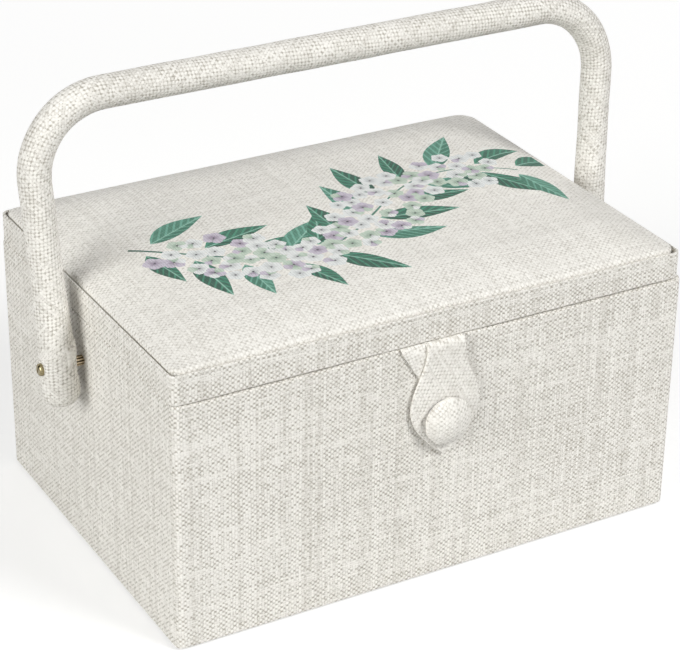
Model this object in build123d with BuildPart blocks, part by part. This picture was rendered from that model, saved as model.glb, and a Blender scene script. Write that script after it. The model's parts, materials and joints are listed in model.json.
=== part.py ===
from build123d import *
import os
from math import asin, cos, radians, sin, sqrt, tan

# Sewing box covered in linen: a hinged padded lid, an arched handle on two
# side screws, a fabric closing strap with a covered button and a lift-out tray.
# Millimetres. X runs along the length, Y to the back, Z up, floor at Z = 0.

os.makedirs("parts", exist_ok=True)

# Box body
body_length = 260.0
body_depth = 186.0
body_height = 122.0
body_corner_radius = 5.5
wall_thickness = 5.0
least_corner_radius = 0.5

# Linen covering, glued round the boards
cover_thickness = 0.8
body_turn_in = 45.0
body_hem_width = 15.0

# Bottom
base_cover_thickness = 1.0
base_cover_margin = 2.0
base_board_thickness = 4.0
base_board_clearance = 0.1

# Lining inside the body; the tray rests on top of the wall linings
floor_lining_thickness = 2.5
wall_lining_thickness = 3.0
lining_clearance = 0.1

# Lift-out tray
tray_height = 26.0
tray_top_drop = 11.9
tray_wall = 1.6
tray_floor = 1.6
tray_side_clearance = 1.0
tray_ledge_clearance = 0.1
tray_corner_radius = 6.0
tray_divider_thickness = 1.4
tray_divider_drop = 4.0
tray_front_room = 62.0
tray_front_divider_x = 40.0
tray_back_rooms = 4
tray_finger_radius = 11.0
tray_edge_chamfer = 0.8

# Lid
lid_gap = 0.3
lid_inset = 1.2
lid_corner_radius = 10.0
rim_height = 14.8
rim_board_thickness = 5.0
lid_board_thickness = 4.0
lid_lining_thickness = 2.0
lid_lining_clearance = 0.15

# Padding on the lid
pad_edge_height = 1.6
pad_rise = 5.9
pad_roll = 32.0
pad_end_rise = 0.8
pad_roll_steps = 6

# Pincushion inside the lid
pincushion_length = 84.0
pincushion_width = 56.0
pincushion_thickness = 9.0
pincushion_x = -62.0
pincushion_y = 0.0
pincushion_corner_radius = 12.0
pincushion_gap = 0.1
# Share of the thickness from the lining, and how far the outline is drawn in there
pincushion_levels = ((0.0, 4.0), (0.3, 0.0), (0.6, 2.0), (0.85, 6.0), (1.0, 12.0))

# Hinges on the back
hinge_spacing = 150.0
hinge_width = 24.0
hinge_leaf_thickness = 1.0
hinge_barrel_radius = 2.0
hinge_barrel_gap = 0.3
hinge_pin_radius = 1.0
hinge_pin_clearance = 0.05
hinge_knuckle_gap = 0.2
hinge_rise = 5.7
hinge_leaf_drop = 14.0
hinge_leaf_margin = 1.0
hinge_web_height = 3.2
hinge_lid_leaf_rise = 6.4
hinge_screw_spacing = 14.0
hinge_body_screw_drop = 9.0
hinge_lid_screw_rise = 3.9
hinge_screw_radius = 0.9
hinge_screw_head_radius = 1.8
hinge_screw_head_height = 0.8
hinge_screw_length = 5.2
hinge_screw_clearance = 0.05

# Handle
pivot_y = 0.0
pivot_drop = 21.0
handle_wall_gap = 4.1
handle_lean = 4.0
handle_splay = 2.5
handle_reach = 122.0
handle_corner_radius = 34.0
handle_radius = 7.3
handle_end_radius = 8.0
handle_cover_thickness = 0.9
handle_taper_start = 40.0
handle_tail = 8.0

# Handle screws, bushes and inserts
pivot_screw_radius = 1.8
pivot_screw_head_radius = 2.9
pivot_screw_head_height = 1.9
pivot_screw_head_round = 1.1
pivot_slot_width = 0.9
pivot_slot_depth = 0.8
pivot_slot_turn = 20.0
pivot_bush_radius = 2.8
pivot_running_clearance = 0.08
pivot_face_clearance = 0.1
pivot_seat_depth = 0.5
pivot_seat_clearance = 0.4
pivot_insert_radius = 3.4
pivot_insert_length = 4.4

# Closing strap and covered button
closure_x = 1.5
strap_wall_gap = 0.3
strap_back_thickness = 1.2
strap_front_thickness = 1.4
strap_top_drop = 0.3
strap_half_width = 10.2
strap_waist_drop = 9.0
strap_waist_radius = 40.0
strap_wide_half_width = 18.3
strap_wide_drop = 34.5
strap_wide_radius = 9.0
strap_length = 60.2
strap_tip_radius = 2.5
strap_edge_chamfer = 0.3
back_layer_offset = 23.7
back_layer_width = 22.8
back_layer_slope = 0.552
back_layer_length = 28.6
strap_anchor_depth = 12.0
button_drop = 38.5
button_radius = 11.8
button_thickness = 6.4
button_edge_height = 1.6
button_cover_thickness = 0.7
button_shell_thickness = 0.6
button_back_thickness = 0.8
button_shank_radius = 2.6
button_shank_length = 1.0
button_fit = 0.05

# Magnets of the closure
magnet_radius = 6.0
body_magnet_thickness = 2.0
magnet_fit = 0.05

# Heights and outlines that follow from the sizes above
boards_bottom = base_cover_thickness + cover_thickness
boards_top = body_height - cover_thickness
frame_length = body_length - 2 * cover_thickness
frame_depth = body_depth - 2 * cover_thickness
frame_radius = body_corner_radius - cover_thickness
room_length = frame_length - 2 * wall_thickness
room_depth = frame_depth - 2 * wall_thickness
mouth_length = room_length - 2 * cover_thickness
mouth_depth = room_depth - 2 * cover_thickness
base_board_top = boards_bottom + base_board_thickness
floor_top = base_board_top + floor_lining_thickness

lid_bottom = body_height + lid_gap
lid_length = body_length - 2 * lid_inset
lid_depth = body_depth - 2 * lid_inset
seam_height = lid_bottom + rim_height
rim_board_bottom = lid_bottom + cover_thickness
rim_board_top = seam_height - lid_board_thickness
lid_frame_length = lid_length - 2 * cover_thickness
lid_frame_depth = lid_depth - 2 * cover_thickness
lid_frame_radius = lid_corner_radius - cover_thickness
lid_room_length = lid_frame_length - 2 * rim_board_thickness
lid_room_depth = lid_frame_depth - 2 * rim_board_thickness
lid_mouth_length = lid_room_length - 2 * cover_thickness
lid_mouth_depth = lid_room_depth - 2 * cover_thickness
lid_lining_bottom = rim_board_top - lid_lining_thickness

hinge_axis_y = body_depth / 2 + hinge_barrel_radius + hinge_barrel_gap
hinge_axis_z = lid_bottom + hinge_rise
hinge_places = (-hinge_spacing / 2, hinge_spacing / 2)

front_face = -body_depth / 2
strap_back_face = front_face - strap_wall_gap
strap_split_face = strap_back_face - strap_back_thickness
strap_front_face = strap_split_face - strap_front_thickness
strap_top = lid_bottom - strap_top_drop
button_height = body_height - button_drop

tray_bottom = body_height - tray_top_drop - tray_height
tray_ledge_height = tray_bottom - tray_ledge_clearance

pivot_height = body_height - pivot_drop
taper_share = handle_taper_start / (handle_taper_start + handle_tail)
pivot_leg_radius = handle_radius + (handle_end_radius - handle_radius) * taper_share
pivot_x = body_length / 2 + handle_wall_gap + pivot_leg_radius


def corner_radius(radius):
    """Rounding of a corner, which is never quite sharp."""
    return max(radius, least_corner_radius)


def upright_block(length, depth, radius, bottom, top, mode=Mode.ADD):
    """Upright block with rounded vertical edges, centred on the Z axis."""
    with BuildSketch(Plane.XY.offset(bottom)) as outline:
        RectangleRounded(length, depth, corner_radius(radius))
    extrude(outline.sketch, amount=top - bottom, mode=mode)


frame_sides = ("front", "right", "back", "left")


def frame_board(side, length, depth, radius, thickness, bottom, top):
    """One mitred board of a rectangular frame: the front one, turned about Z by quarters."""
    quarters = frame_sides.index(side)
    along, across = (depth, length) if quarters % 2 else (length, depth)
    reach = thickness + corner_radius(radius)
    with BuildSketch(Plane.XY.offset(bottom).rotated((0, 0, 90 * quarters))) as outline:
        with BuildLine():
            Polyline(
                (-along / 2, -across / 2),
                (along / 2, -across / 2),
                (along / 2 - reach, -across / 2 + reach),
                (-along / 2 + reach, -across / 2 + reach),
                close=True,
            )
        make_face()
        RectangleRounded(along, across, corner_radius(radius), mode=Mode.INTERSECT)
        RectangleRounded(
            along - 2 * thickness,
            across - 2 * thickness,
            corner_radius(radius - thickness),
            mode=Mode.SUBTRACT,
        )
    extrude(outline.sketch, amount=top - bottom)


def finish_part(builder, name):
    """Label a finished sub-part and write its file."""
    builder.part.label = name
    export_step(builder.part, f"parts/{name}.step")


def back_places(height, face):
    """Screw places on the back, two to each hinge leaf, pointing out of it."""
    return [
        Location((x + side * hinge_screw_spacing / 2, face, height), (-90, 0, 0))
        for x in hinge_places
        for side in (-1, 1)
    ]


body_leaf_face = body_depth / 2 + hinge_leaf_thickness
lid_leaf_face = lid_depth / 2 + hinge_leaf_thickness
body_screw_places = back_places(body_height - hinge_body_screw_drop, body_leaf_face)
lid_screw_places = back_places(hinge_axis_z + hinge_lid_screw_rise, lid_leaf_face)


def screw_holes(places):
    """Pilot holes of the hinge screws, a little wider and deeper than they are."""
    with Locations(*places):
        Cylinder(
            hinge_screw_radius + hinge_screw_clearance,
            hinge_screw_length + hinge_screw_clearance,
            align=(Align.CENTER, Align.CENTER, Align.MAX),
            mode=Mode.SUBTRACT,
        )


def pivot_bore(radius, inner, outer, mode=Mode.SUBTRACT):
    """Round bar along both pivots, from one distance off the middle to another."""
    for side in (-1, 1):
        with BuildSketch(Plane((side * inner, pivot_y, pivot_height), z_dir=(side, 0, 0))) as ring:
            Circle(radius)
        extrude(ring.sketch, amount=outer - inner, mode=mode)


# Base
with BuildPart() as base_cover:
    upright_block(
        body_length - 2 * base_cover_margin,
        body_depth - 2 * base_cover_margin,
        body_corner_radius - base_cover_margin,
        0,
        base_cover_thickness,
    )
finish_part(base_cover, "base_cover")

with BuildPart() as base_board:
    upright_block(
        room_length - 2 * base_board_clearance,
        room_depth - 2 * base_board_clearance,
        least_corner_radius,
        boards_bottom,
        base_board_top,
    )
finish_part(base_board, "base_board")

with BuildPart() as floor_lining:
    upright_block(
        room_length - 2 * base_board_clearance,
        room_depth - 2 * base_board_clearance,
        least_corner_radius,
        base_board_top,
        floor_top,
    )
finish_part(floor_lining, "floor_lining")

# Body walls; the side walls take the handle inserts
for side in frame_sides:
    with BuildPart() as wall:
        frame_board(
            side, frame_length, frame_depth, frame_radius, wall_thickness,
            boards_bottom, boards_top,
        )
        if side in ("left", "right"):
            pivot_bore(
                pivot_insert_radius, frame_length / 2 - pivot_insert_length, frame_length / 2,
            )
        if side == "back":
            screw_holes(body_screw_places)
        if side == "front":
            with BuildSketch(Plane.XZ.offset(frame_depth / 2)) as magnet_pocket:
                with Locations((closure_x, button_height)):
                    Circle(magnet_radius + magnet_fit)
            extrude(
                magnet_pocket.sketch, amount=-body_magnet_thickness - magnet_fit, mode=Mode.SUBTRACT,
            )
    finish_part(wall, f"{side}_wall")

# Linen cover of the body: outside, hem below, top edge and turn-in
with BuildPart() as body_cover:
    upright_block(
        body_length, body_depth, body_corner_radius, base_cover_thickness, body_height,
    )
    upright_block(
        frame_length, frame_depth, frame_radius, boards_bottom, boards_top, mode=Mode.SUBTRACT,
    )
    upright_block(
        body_length - 2 * body_hem_width,
        body_depth - 2 * body_hem_width,
        least_corner_radius,
        base_cover_thickness,
        boards_bottom,
        mode=Mode.SUBTRACT,
    )
    upright_block(
        room_length, room_depth, frame_radius - wall_thickness,
        body_height - body_turn_in, body_height,
    )
    upright_block(
        mouth_length, mouth_depth, least_corner_radius,
        body_height - body_turn_in, body_height, mode=Mode.SUBTRACT,
    )
    screw_holes(body_screw_places)
    pivot_bore(pivot_screw_radius + pivot_running_clearance, frame_length / 2, body_length / 2)
finish_part(body_cover, "body_cover")

# Lining of the walls, four covered boards whose tops carry the tray
for side in frame_sides:
    with BuildPart() as lining:
        frame_board(
            side,
            mouth_length - 2 * lining_clearance,
            mouth_depth - 2 * lining_clearance,
            least_corner_radius,
            wall_lining_thickness,
            floor_top,
            tray_ledge_height,
        )
    finish_part(lining, f"{side}_lining")

# Tray with one long room in front, split in two, and equal rooms behind
tray_length = mouth_length - 2 * tray_side_clearance
tray_depth = mouth_depth - 2 * tray_side_clearance
tray_top = tray_bottom + tray_height
divider_top = tray_top - tray_divider_drop
tray_inner_length = tray_length - 2 * tray_wall
tray_inner_depth = tray_depth - 2 * tray_wall
tray_divider_y = -tray_inner_depth / 2 + tray_front_room + tray_divider_thickness / 2
tray_back_room = tray_inner_depth / 2 - tray_divider_y
back_divider_step = tray_inner_length / tray_back_rooms

with BuildPart() as tray:
    upright_block(tray_length, tray_depth, tray_corner_radius, tray_bottom, tray_top)
    chamfer(tray.faces().sort_by(Axis.Z)[0].edges(), length=tray_edge_chamfer)
    upright_block(
        tray_inner_length, tray_inner_depth, tray_corner_radius - tray_wall,
        tray_bottom + tray_floor, tray_top, mode=Mode.SUBTRACT,
    )
    with BuildSketch(Plane.XY.offset(tray_bottom + tray_floor)) as dividers:
        with Locations((0, tray_divider_y)):
            Rectangle(tray_inner_length, tray_divider_thickness)
        with Locations((tray_front_divider_x, (tray_divider_y - tray_inner_depth / 2) / 2)):
            Rectangle(tray_divider_thickness, tray_front_room + tray_divider_thickness)
        for count in range(1, tray_back_rooms):
            divider_x = -tray_inner_length / 2 + count * back_divider_step
            with Locations((divider_x, (tray_divider_y + tray_inner_depth / 2) / 2)):
                Rectangle(tray_divider_thickness, tray_back_room)
    extrude(dividers.sketch, amount=divider_top - tray_bottom - tray_floor)
    with BuildSketch(Plane.YZ.offset(-tray_length / 2)) as finger_notch:
        with Locations((0, tray_top)):
            Circle(tray_finger_radius)
    extrude(finger_notch.sketch, amount=tray_wall, mode=Mode.SUBTRACT)
    extrude(
        finger_notch.sketch.moved(Location((tray_length - tray_wall, 0, 0))),
        amount=tray_wall,
        mode=Mode.SUBTRACT,
    )
finish_part(tray, "tray")

# Lid boards
for side in frame_sides:
    with BuildPart() as rim:
        frame_board(
            side, lid_frame_length, lid_frame_depth, lid_frame_radius,
            rim_board_thickness, rim_board_bottom, rim_board_top,
        )
        if side == "back":
            screw_holes(lid_screw_places)
    finish_part(rim, f"lid_{side}_rim")

with BuildPart() as lid_board:
    upright_block(
        lid_frame_length, lid_frame_depth, lid_frame_radius, rim_board_top, seam_height,
    )
finish_part(lid_board, "lid_board")

# The two layers of the strap are glued up under the front of the lid
anchor_left = closure_x - back_layer_offset
anchor_right = closure_x + strap_half_width

with BuildPart() as strap_anchor:
    with BuildSketch(Plane.XY.offset(lid_bottom)) as anchor_outline:
        with Locations(((anchor_left + anchor_right) / 2, (strap_anchor_depth - lid_depth) / 2)):
            Rectangle(anchor_right - anchor_left, strap_anchor_depth)
    extrude(anchor_outline.sketch, amount=cover_thickness)
    upright_block(
        lid_mouth_length, lid_mouth_depth, least_corner_radius,
        lid_bottom, rim_board_bottom, mode=Mode.SUBTRACT,
    )
finish_part(strap_anchor, "strap_anchor")

# Linen round the rim of the lid, turned in underneath
with BuildPart() as rim_cover:
    upright_block(lid_length, lid_depth, lid_corner_radius, lid_bottom, seam_height)
    upright_block(
        lid_frame_length, lid_frame_depth, lid_frame_radius,
        rim_board_bottom, seam_height, mode=Mode.SUBTRACT,
    )
    upright_block(
        lid_room_length, lid_room_depth, lid_frame_radius - rim_board_thickness,
        rim_board_bottom, rim_board_top,
    )
    upright_block(
        lid_mouth_length, lid_mouth_depth, lid_frame_radius - rim_board_thickness - cover_thickness,
        lid_bottom, rim_board_top, mode=Mode.SUBTRACT,
    )
    extrude(anchor_outline.sketch, amount=cover_thickness, mode=Mode.SUBTRACT)
    screw_holes(lid_screw_places)
finish_part(rim_cover, "rim_cover")

with BuildPart() as lid_lining:
    upright_block(
        lid_mouth_length - 2 * lid_lining_clearance,
        lid_mouth_depth - 2 * lid_lining_clearance,
        lid_frame_radius - rim_board_thickness - cover_thickness,
        lid_lining_bottom,
        rim_board_top,
    )
finish_part(lid_lining, "lid_lining")


def crowned_form(length, depth, radius, edge_height, rise):
    """Padding on the seam: low sides, a rolled edge all round and a flat crown."""
    roll_radius = (pad_roll**2 + rise**2) / (2 * rise)

    def height_at(inset):
        gone = max(pad_roll - inset, 0)
        fall = roll_radius - sqrt(roll_radius**2 - gone**2)
        return edge_height + max(rise - fall, pad_end_rise)

    def section(x, height):
        with BuildSketch(Plane((x, 0, seam_height), x_dir=(0, 1, 0), z_dir=(1, 0, 0))) as cut:
            with BuildLine():
                flat = depth / 2 - pad_roll
                arc_rise = height - edge_height
                arc_radius = (pad_roll**2 + arc_rise**2) / (2 * arc_rise)
                half_turn = asin(pad_roll / arc_radius) / 2
                middle = (
                    flat + arc_radius * sin(half_turn),
                    height - arc_radius * (1 - cos(half_turn)),
                )
                Polyline(
                    (-depth / 2, edge_height), (-depth / 2, 0), (depth / 2, 0), (depth / 2, edge_height),
                )
                ThreePointArc((depth / 2, edge_height), middle, (flat, height))
                Line((flat, height), (-flat, height))
                ThreePointArc((-flat, height), (-middle[0], middle[1]), (-depth / 2, edge_height))
            make_face()
        return cut.sketch

    insets = [count * pad_roll / pad_roll_steps for count in range(pad_roll_steps + 1)]
    stations = [(-length / 2 + inset, height_at(inset)) for inset in insets]
    stations += [(length / 2 - inset, height_at(inset)) for inset in reversed(insets)]
    with BuildPart(mode=Mode.PRIVATE) as form:
        loft([section(x, height) for x, height in stations], ruled=True)
        upright_block(
            length, depth, radius, seam_height, seam_height + edge_height + rise, mode=Mode.INTERSECT,
        )
    add(form.part)


with BuildPart() as lid_pad:
    crowned_form(
        lid_frame_length, lid_frame_depth, lid_frame_radius,
        pad_edge_height - cover_thickness, pad_rise,
    )
finish_part(lid_pad, "lid_pad")

with BuildPart() as lid_top_cover:
    crowned_form(lid_length, lid_depth, lid_corner_radius, pad_edge_height, pad_rise)
    add(lid_pad.part, mode=Mode.SUBTRACT)
finish_part(lid_top_cover, "lid_top_cover")

# Pincushion glued to the lining, crowned towards the box
pincushion_top = lid_lining_bottom - pincushion_gap
with BuildPart() as pincushion:
    cushion_sections = []
    for share, draw_in in pincushion_levels:
        level = pincushion_top - share * pincushion_thickness
        with BuildSketch(Plane.XY.offset(level), mode=Mode.PRIVATE) as cushion_section:
            with Locations((pincushion_x, pincushion_y)):
                RectangleRounded(
                    pincushion_length - 2 * draw_in,
                    pincushion_width - 2 * draw_in,
                    pincushion_corner_radius,
                )
        cushion_sections.append(cushion_section.sketch)
    loft(cushion_sections, ruled=True)
finish_part(pincushion, "pincushion")


def hinge_barrel(x_from, x_to, mode=Mode.ADD, radius=hinge_barrel_radius):
    """Length of round bar on the hinge axis."""
    with BuildSketch(Plane((x_from, hinge_axis_y, hinge_axis_z), z_dir=(1, 0, 0))) as ring:
        Circle(radius)
    extrude(ring.sketch, amount=x_to - x_from, mode=mode)


def hinge_leaf(profile, x_from, x_to):
    """Plate of a hinge leaf, from its outline seen along X."""
    with BuildSketch(Plane((x_from, 0, 0), x_dir=(0, 1, 0), z_dir=(1, 0, 0))) as outline:
        with BuildLine():
            Polyline(*profile, close=True)
        make_face()
    extrude(outline.sketch, amount=x_to - x_from)


def leaf_screw_seats(places):
    """Countersunk holes in a leaf, from its outer face."""
    with Locations(*places):
        Cone(
            hinge_screw_radius + hinge_screw_clearance,
            hinge_screw_head_radius + hinge_screw_clearance,
            hinge_screw_head_height,
            align=(Align.CENTER, Align.CENTER, Align.MAX),
            mode=Mode.SUBTRACT,
        )


# Each hinge has three knuckles: two on the body leaf and the middle one on the lid leaf
pin_bore = hinge_pin_radius + hinge_pin_clearance
knuckle_edges = (-hinge_width / 2, -hinge_width / 6, hinge_width / 6, hinge_width / 2)
outer_knuckles = (knuckle_edges[0:2], knuckle_edges[2:4])
middle_knuckle = knuckle_edges[1:3]


def hinge_knuckle(x, edges, web):
    """Barrel length with the web that joins it to its leaf."""
    start = x + edges[0] + hinge_knuckle_gap / 2
    end = x + edges[1] - hinge_knuckle_gap / 2
    hinge_leaf(web, start, end)
    hinge_barrel(start, end)


with BuildPart() as hinge_body_leaves:
    leaf_back = body_depth / 2
    leaf_top = body_height - hinge_leaf_margin
    body_plate = (
        (leaf_back, body_height - hinge_leaf_drop),
        (body_leaf_face, body_height - hinge_leaf_drop),
        (body_leaf_face, leaf_top),
        (leaf_back, leaf_top),
    )
    body_web = (
        (leaf_back, leaf_top),
        (body_leaf_face, leaf_top),
        (body_leaf_face, hinge_axis_z - hinge_web_height),
        (hinge_axis_y, hinge_axis_z - hinge_barrel_radius),
        (hinge_axis_y - hinge_barrel_radius, hinge_axis_z),
        (leaf_back, hinge_axis_z - hinge_web_height / 2),
    )
    for x in hinge_places:
        hinge_leaf(body_plate, x - hinge_width / 2, x + hinge_width / 2)
        for edges in outer_knuckles:
            hinge_knuckle(x, edges, body_web)
        hinge_barrel(x - hinge_width / 2, x + hinge_width / 2, Mode.SUBTRACT, pin_bore)
    screw_holes(body_screw_places)
    leaf_screw_seats(body_screw_places)
finish_part(hinge_body_leaves, "hinge_body_leaves")

with BuildPart() as hinge_lid_leaves:
    lid_back = lid_depth / 2
    lid_plate = (
        (lid_back, lid_bottom + hinge_leaf_margin),
        (lid_leaf_face, lid_bottom + hinge_leaf_margin),
        (lid_leaf_face, hinge_axis_z + hinge_lid_leaf_rise),
        (lid_back, hinge_axis_z + hinge_lid_leaf_rise),
    )
    lid_web = (
        (lid_leaf_face, hinge_axis_z + hinge_web_height),
        (hinge_axis_y, hinge_axis_z + hinge_barrel_radius),
        (hinge_axis_y - hinge_barrel_radius, hinge_axis_z),
        (lid_leaf_face, hinge_axis_z),
        (lid_back, hinge_axis_z),
        (lid_back, hinge_axis_z + hinge_web_height),
    )
    for x in hinge_places:
        hinge_leaf(lid_plate, x - hinge_width / 2, x + hinge_width / 2)
        hinge_knuckle(x, middle_knuckle, lid_web)
        hinge_barrel(x - hinge_width / 2, x + hinge_width / 2, Mode.SUBTRACT, pin_bore)
    screw_holes(lid_screw_places)
    leaf_screw_seats(lid_screw_places)
finish_part(hinge_lid_leaves, "hinge_lid_leaves")

with BuildPart() as hinge_pins:
    for x in hinge_places:
        hinge_barrel(x - hinge_width / 2, x + hinge_width / 2, radius=hinge_pin_radius)
finish_part(hinge_pins, "hinge_pins")


def hinge_screws(places):
    """Countersunk screws of one pair of leaves."""
    with Locations(*places):
        Cylinder(
            hinge_screw_radius,
            hinge_screw_length,
            align=(Align.CENTER, Align.CENTER, Align.MAX),
        )
        Cone(
            hinge_screw_radius,
            hinge_screw_head_radius,
            hinge_screw_head_height,
            align=(Align.CENTER, Align.CENTER, Align.MAX),
        )


with BuildPart() as hinge_body_screws:
    hinge_screws(body_screw_places)
finish_part(hinge_body_screws, "hinge_body_screws")

with BuildPart() as hinge_lid_screws:
    hinge_screws(lid_screw_places)
finish_part(hinge_lid_screws, "hinge_lid_screws")

# Handle: an arch in a plane that leans back a little about the pivots
handle_plane = Plane(
    origin=(0, pivot_y, pivot_height),
    x_dir=(1, 0, 0),
    z_dir=(0, -cos(radians(handle_lean)), sin(radians(handle_lean))),
)


def leg_x(height):
    """Distance of a leg's middle line from the centre, at a height over the pivot."""
    return pivot_x + height * tan(radians(handle_splay))


def handle_form(radius, end_radius):
    """Arched round bar with legs that thicken towards rounded ends."""
    with BuildLine(handle_plane) as route:
        FilletPolyline(
            (-leg_x(handle_taper_start), handle_taper_start),
            (-leg_x(handle_reach), handle_reach),
            (leg_x(handle_reach), handle_reach),
            (leg_x(handle_taper_start), handle_taper_start),
            radius=handle_corner_radius,
        )
    with BuildSketch(Plane(origin=route.line @ 0, z_dir=route.line % 0)) as bar:
        Circle(radius)
    sweep(bar.sketch, path=route.line)
    for side in (-1, 1):
        upper = handle_plane.from_local_coords((side * leg_x(handle_taper_start), handle_taper_start, 0))
        lower = handle_plane.from_local_coords((side * leg_x(-handle_tail), -handle_tail, 0))
        down = Vector(lower) - Vector(upper)
        with BuildSketch(Plane(origin=upper, z_dir=down)) as leg_start:
            Circle(radius)
        with BuildSketch(Plane(origin=lower, z_dir=down)) as leg_end:
            Circle(end_radius)
        loft([leg_start.sketch, leg_end.sketch])
        with Locations(Location(lower)):
            Sphere(end_radius)


leg_inner_seat = pivot_x - pivot_leg_radius + pivot_seat_depth
leg_outer_seat = pivot_x + pivot_leg_radius - pivot_seat_depth


def handle_screw_way():
    """Bore through both legs, with a flat seat inside for the bush and outside for the head."""
    pivot_bore(
        pivot_screw_radius + pivot_running_clearance,
        pivot_x - handle_end_radius,
        pivot_x + handle_end_radius,
    )
    pivot_bore(
        pivot_bush_radius + pivot_seat_clearance, leg_inner_seat - handle_end_radius, leg_inner_seat,
    )
    pivot_bore(
        pivot_screw_head_radius + pivot_seat_clearance,
        leg_outer_seat,
        leg_outer_seat + handle_end_radius,
    )


with BuildPart() as handle_core:
    handle_form(handle_radius - handle_cover_thickness, handle_end_radius - handle_cover_thickness)
    handle_screw_way()
finish_part(handle_core, "handle_core")

with BuildPart() as handle_cover:
    handle_form(handle_radius, handle_end_radius)
    with BuildPart(mode=Mode.PRIVATE) as inside:
        handle_form(handle_radius - handle_cover_thickness, handle_end_radius - handle_cover_thickness)
    add(inside.part, mode=Mode.SUBTRACT)
    handle_screw_way()
finish_part(handle_cover, "handle_cover")

# Handle hardware: inserts in the side walls, bushes in the gaps, slotted screws
insert_inner = frame_length / 2 - pivot_insert_length
screw_seat = leg_outer_seat + pivot_face_clearance

with BuildPart() as pivot_inserts:
    pivot_bore(pivot_insert_radius, insert_inner, frame_length / 2, Mode.ADD)
    pivot_bore(pivot_screw_radius, insert_inner, frame_length / 2)
finish_part(pivot_inserts, "pivot_inserts")

with BuildPart() as pivot_bushes:
    bush_inner = body_length / 2 + pivot_face_clearance
    bush_outer = leg_inner_seat - pivot_face_clearance
    pivot_bore(pivot_bush_radius, bush_inner, bush_outer, Mode.ADD)
    pivot_bore(pivot_screw_radius + pivot_running_clearance, bush_inner, bush_outer)
finish_part(pivot_bushes, "pivot_bushes")

with BuildPart() as pivot_screws:
    pivot_bore(pivot_screw_head_radius, screw_seat, screw_seat + pivot_screw_head_height, Mode.ADD)
    head_faces = pivot_screws.faces().sort_by(Axis.X)
    fillet(head_faces[0].edges() + head_faces[-1].edges(), radius=pivot_screw_head_round)
    pivot_bore(pivot_screw_radius, insert_inner, screw_seat, Mode.ADD)
    for side in (-1, 1):
        slot_x = side * (screw_seat + pivot_screw_head_height - pivot_slot_depth / 2)
        with Locations((slot_x, pivot_y, pivot_height)):
            Box(
                pivot_slot_depth, pivot_slot_width, 2 * pivot_screw_head_radius,
                rotation=(pivot_slot_turn, 0, 0), mode=Mode.SUBTRACT,
            )
finish_part(pivot_screws, "pivot_screws")

# Closing strap: a back layer that slants, under a front layer with a mitred tip
with BuildPart() as strap_back:
    with BuildSketch(Plane.XZ.offset(-strap_back_face)) as back_outline:
        shift = back_layer_slope * back_layer_length
        with BuildLine():
            Polyline(
                (anchor_left, strap_top),
                (anchor_left + back_layer_width, strap_top),
                (anchor_left + back_layer_width + shift, strap_top - back_layer_length),
                (anchor_left + shift, strap_top - back_layer_length),
                close=True,
            )
        make_face()
    extrude(amount=strap_back_thickness)
finish_part(strap_back, "strap_back")

with BuildPart() as strap_front:
    with BuildSketch(Plane.XZ.offset(-strap_split_face)) as front_outline:
        with BuildLine() as strap_edge:
            FilletPolyline(
                (closure_x - strap_half_width, strap_top),
                (closure_x - strap_half_width, strap_top - strap_waist_drop),
                (closure_x - strap_wide_half_width, strap_top - strap_wide_drop),
                (closure_x, strap_top - strap_length),
                (closure_x + strap_wide_half_width, strap_top - strap_wide_drop),
                (closure_x + strap_half_width, strap_top - strap_waist_drop),
                (closure_x + strap_half_width, strap_top),
                radius=(
                    strap_waist_radius, strap_wide_radius, strap_tip_radius,
                    strap_wide_radius, strap_waist_radius,
                ),
            )
            Line(strap_edge.line @ 1, strap_edge.line @ 0)
        make_face()
    extrude(amount=strap_front_thickness)
    chamfer(strap_front.faces().sort_by(Axis.Y)[0].edges(), length=strap_edge_chamfer)
finish_part(strap_front, "strap_front")


def disc_at_button(radius, face, thickness):
    """Flat disc round the button's axis, from a face on the front side outwards."""
    with BuildSketch(Plane.XZ.offset(-face)) as disc:
        with Locations((closure_x, button_height)):
            Circle(radius)
    extrude(disc.sketch, amount=thickness)


with BuildPart() as tab_magnet:
    disc_at_button(magnet_radius, strap_back_face, strap_back_thickness)
finish_part(tab_magnet, "tab_magnet")

with BuildPart() as body_magnet:
    disc_at_button(magnet_radius, -frame_depth / 2 + body_magnet_thickness, body_magnet_thickness)
finish_part(body_magnet, "body_magnet")

# Covered button: back with its shank, domed shell and linen drawn over it
button_back_face = strap_front_face - button_shank_length
button_axis = Axis((closure_x, 0, button_height), (0, -1, 0))


def button_dome(radius, edge_height, height, mode=Mode.ADD):
    """Solid of a domed disc that stands on the back face of the button."""
    with BuildSketch(
        Plane((closure_x, button_back_face, button_height), x_dir=(1, 0, 0), z_dir=(0, 0, 1))
    ) as profile:
        with BuildLine():
            rise = height - edge_height
            dome_radius = (radius**2 + rise**2) / (2 * rise)
            half_turn = asin(radius / dome_radius) / 2
            Polyline((0, -height), (0, 0), (radius, 0), (radius, -edge_height))
            ThreePointArc(
                (radius, -edge_height),
                (dome_radius * sin(half_turn), dome_radius * (1 - cos(half_turn)) - height),
                (0, -height),
            )
        make_face()
    revolve(profile.sketch, axis=button_axis, mode=mode)


shell_radius = button_radius - button_cover_thickness
shell_height = button_thickness - button_cover_thickness

with BuildPart() as button_cover:
    button_dome(button_radius, button_edge_height, button_thickness)
    button_dome(shell_radius, button_edge_height, shell_height, Mode.SUBTRACT)
finish_part(button_cover, "button_cover")

with BuildPart() as button_shell:
    button_dome(shell_radius, button_edge_height, shell_height)
    button_dome(
        shell_radius - button_shell_thickness,
        button_edge_height,
        shell_height - button_shell_thickness,
        Mode.SUBTRACT,
    )
finish_part(button_shell, "button_shell")

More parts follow.
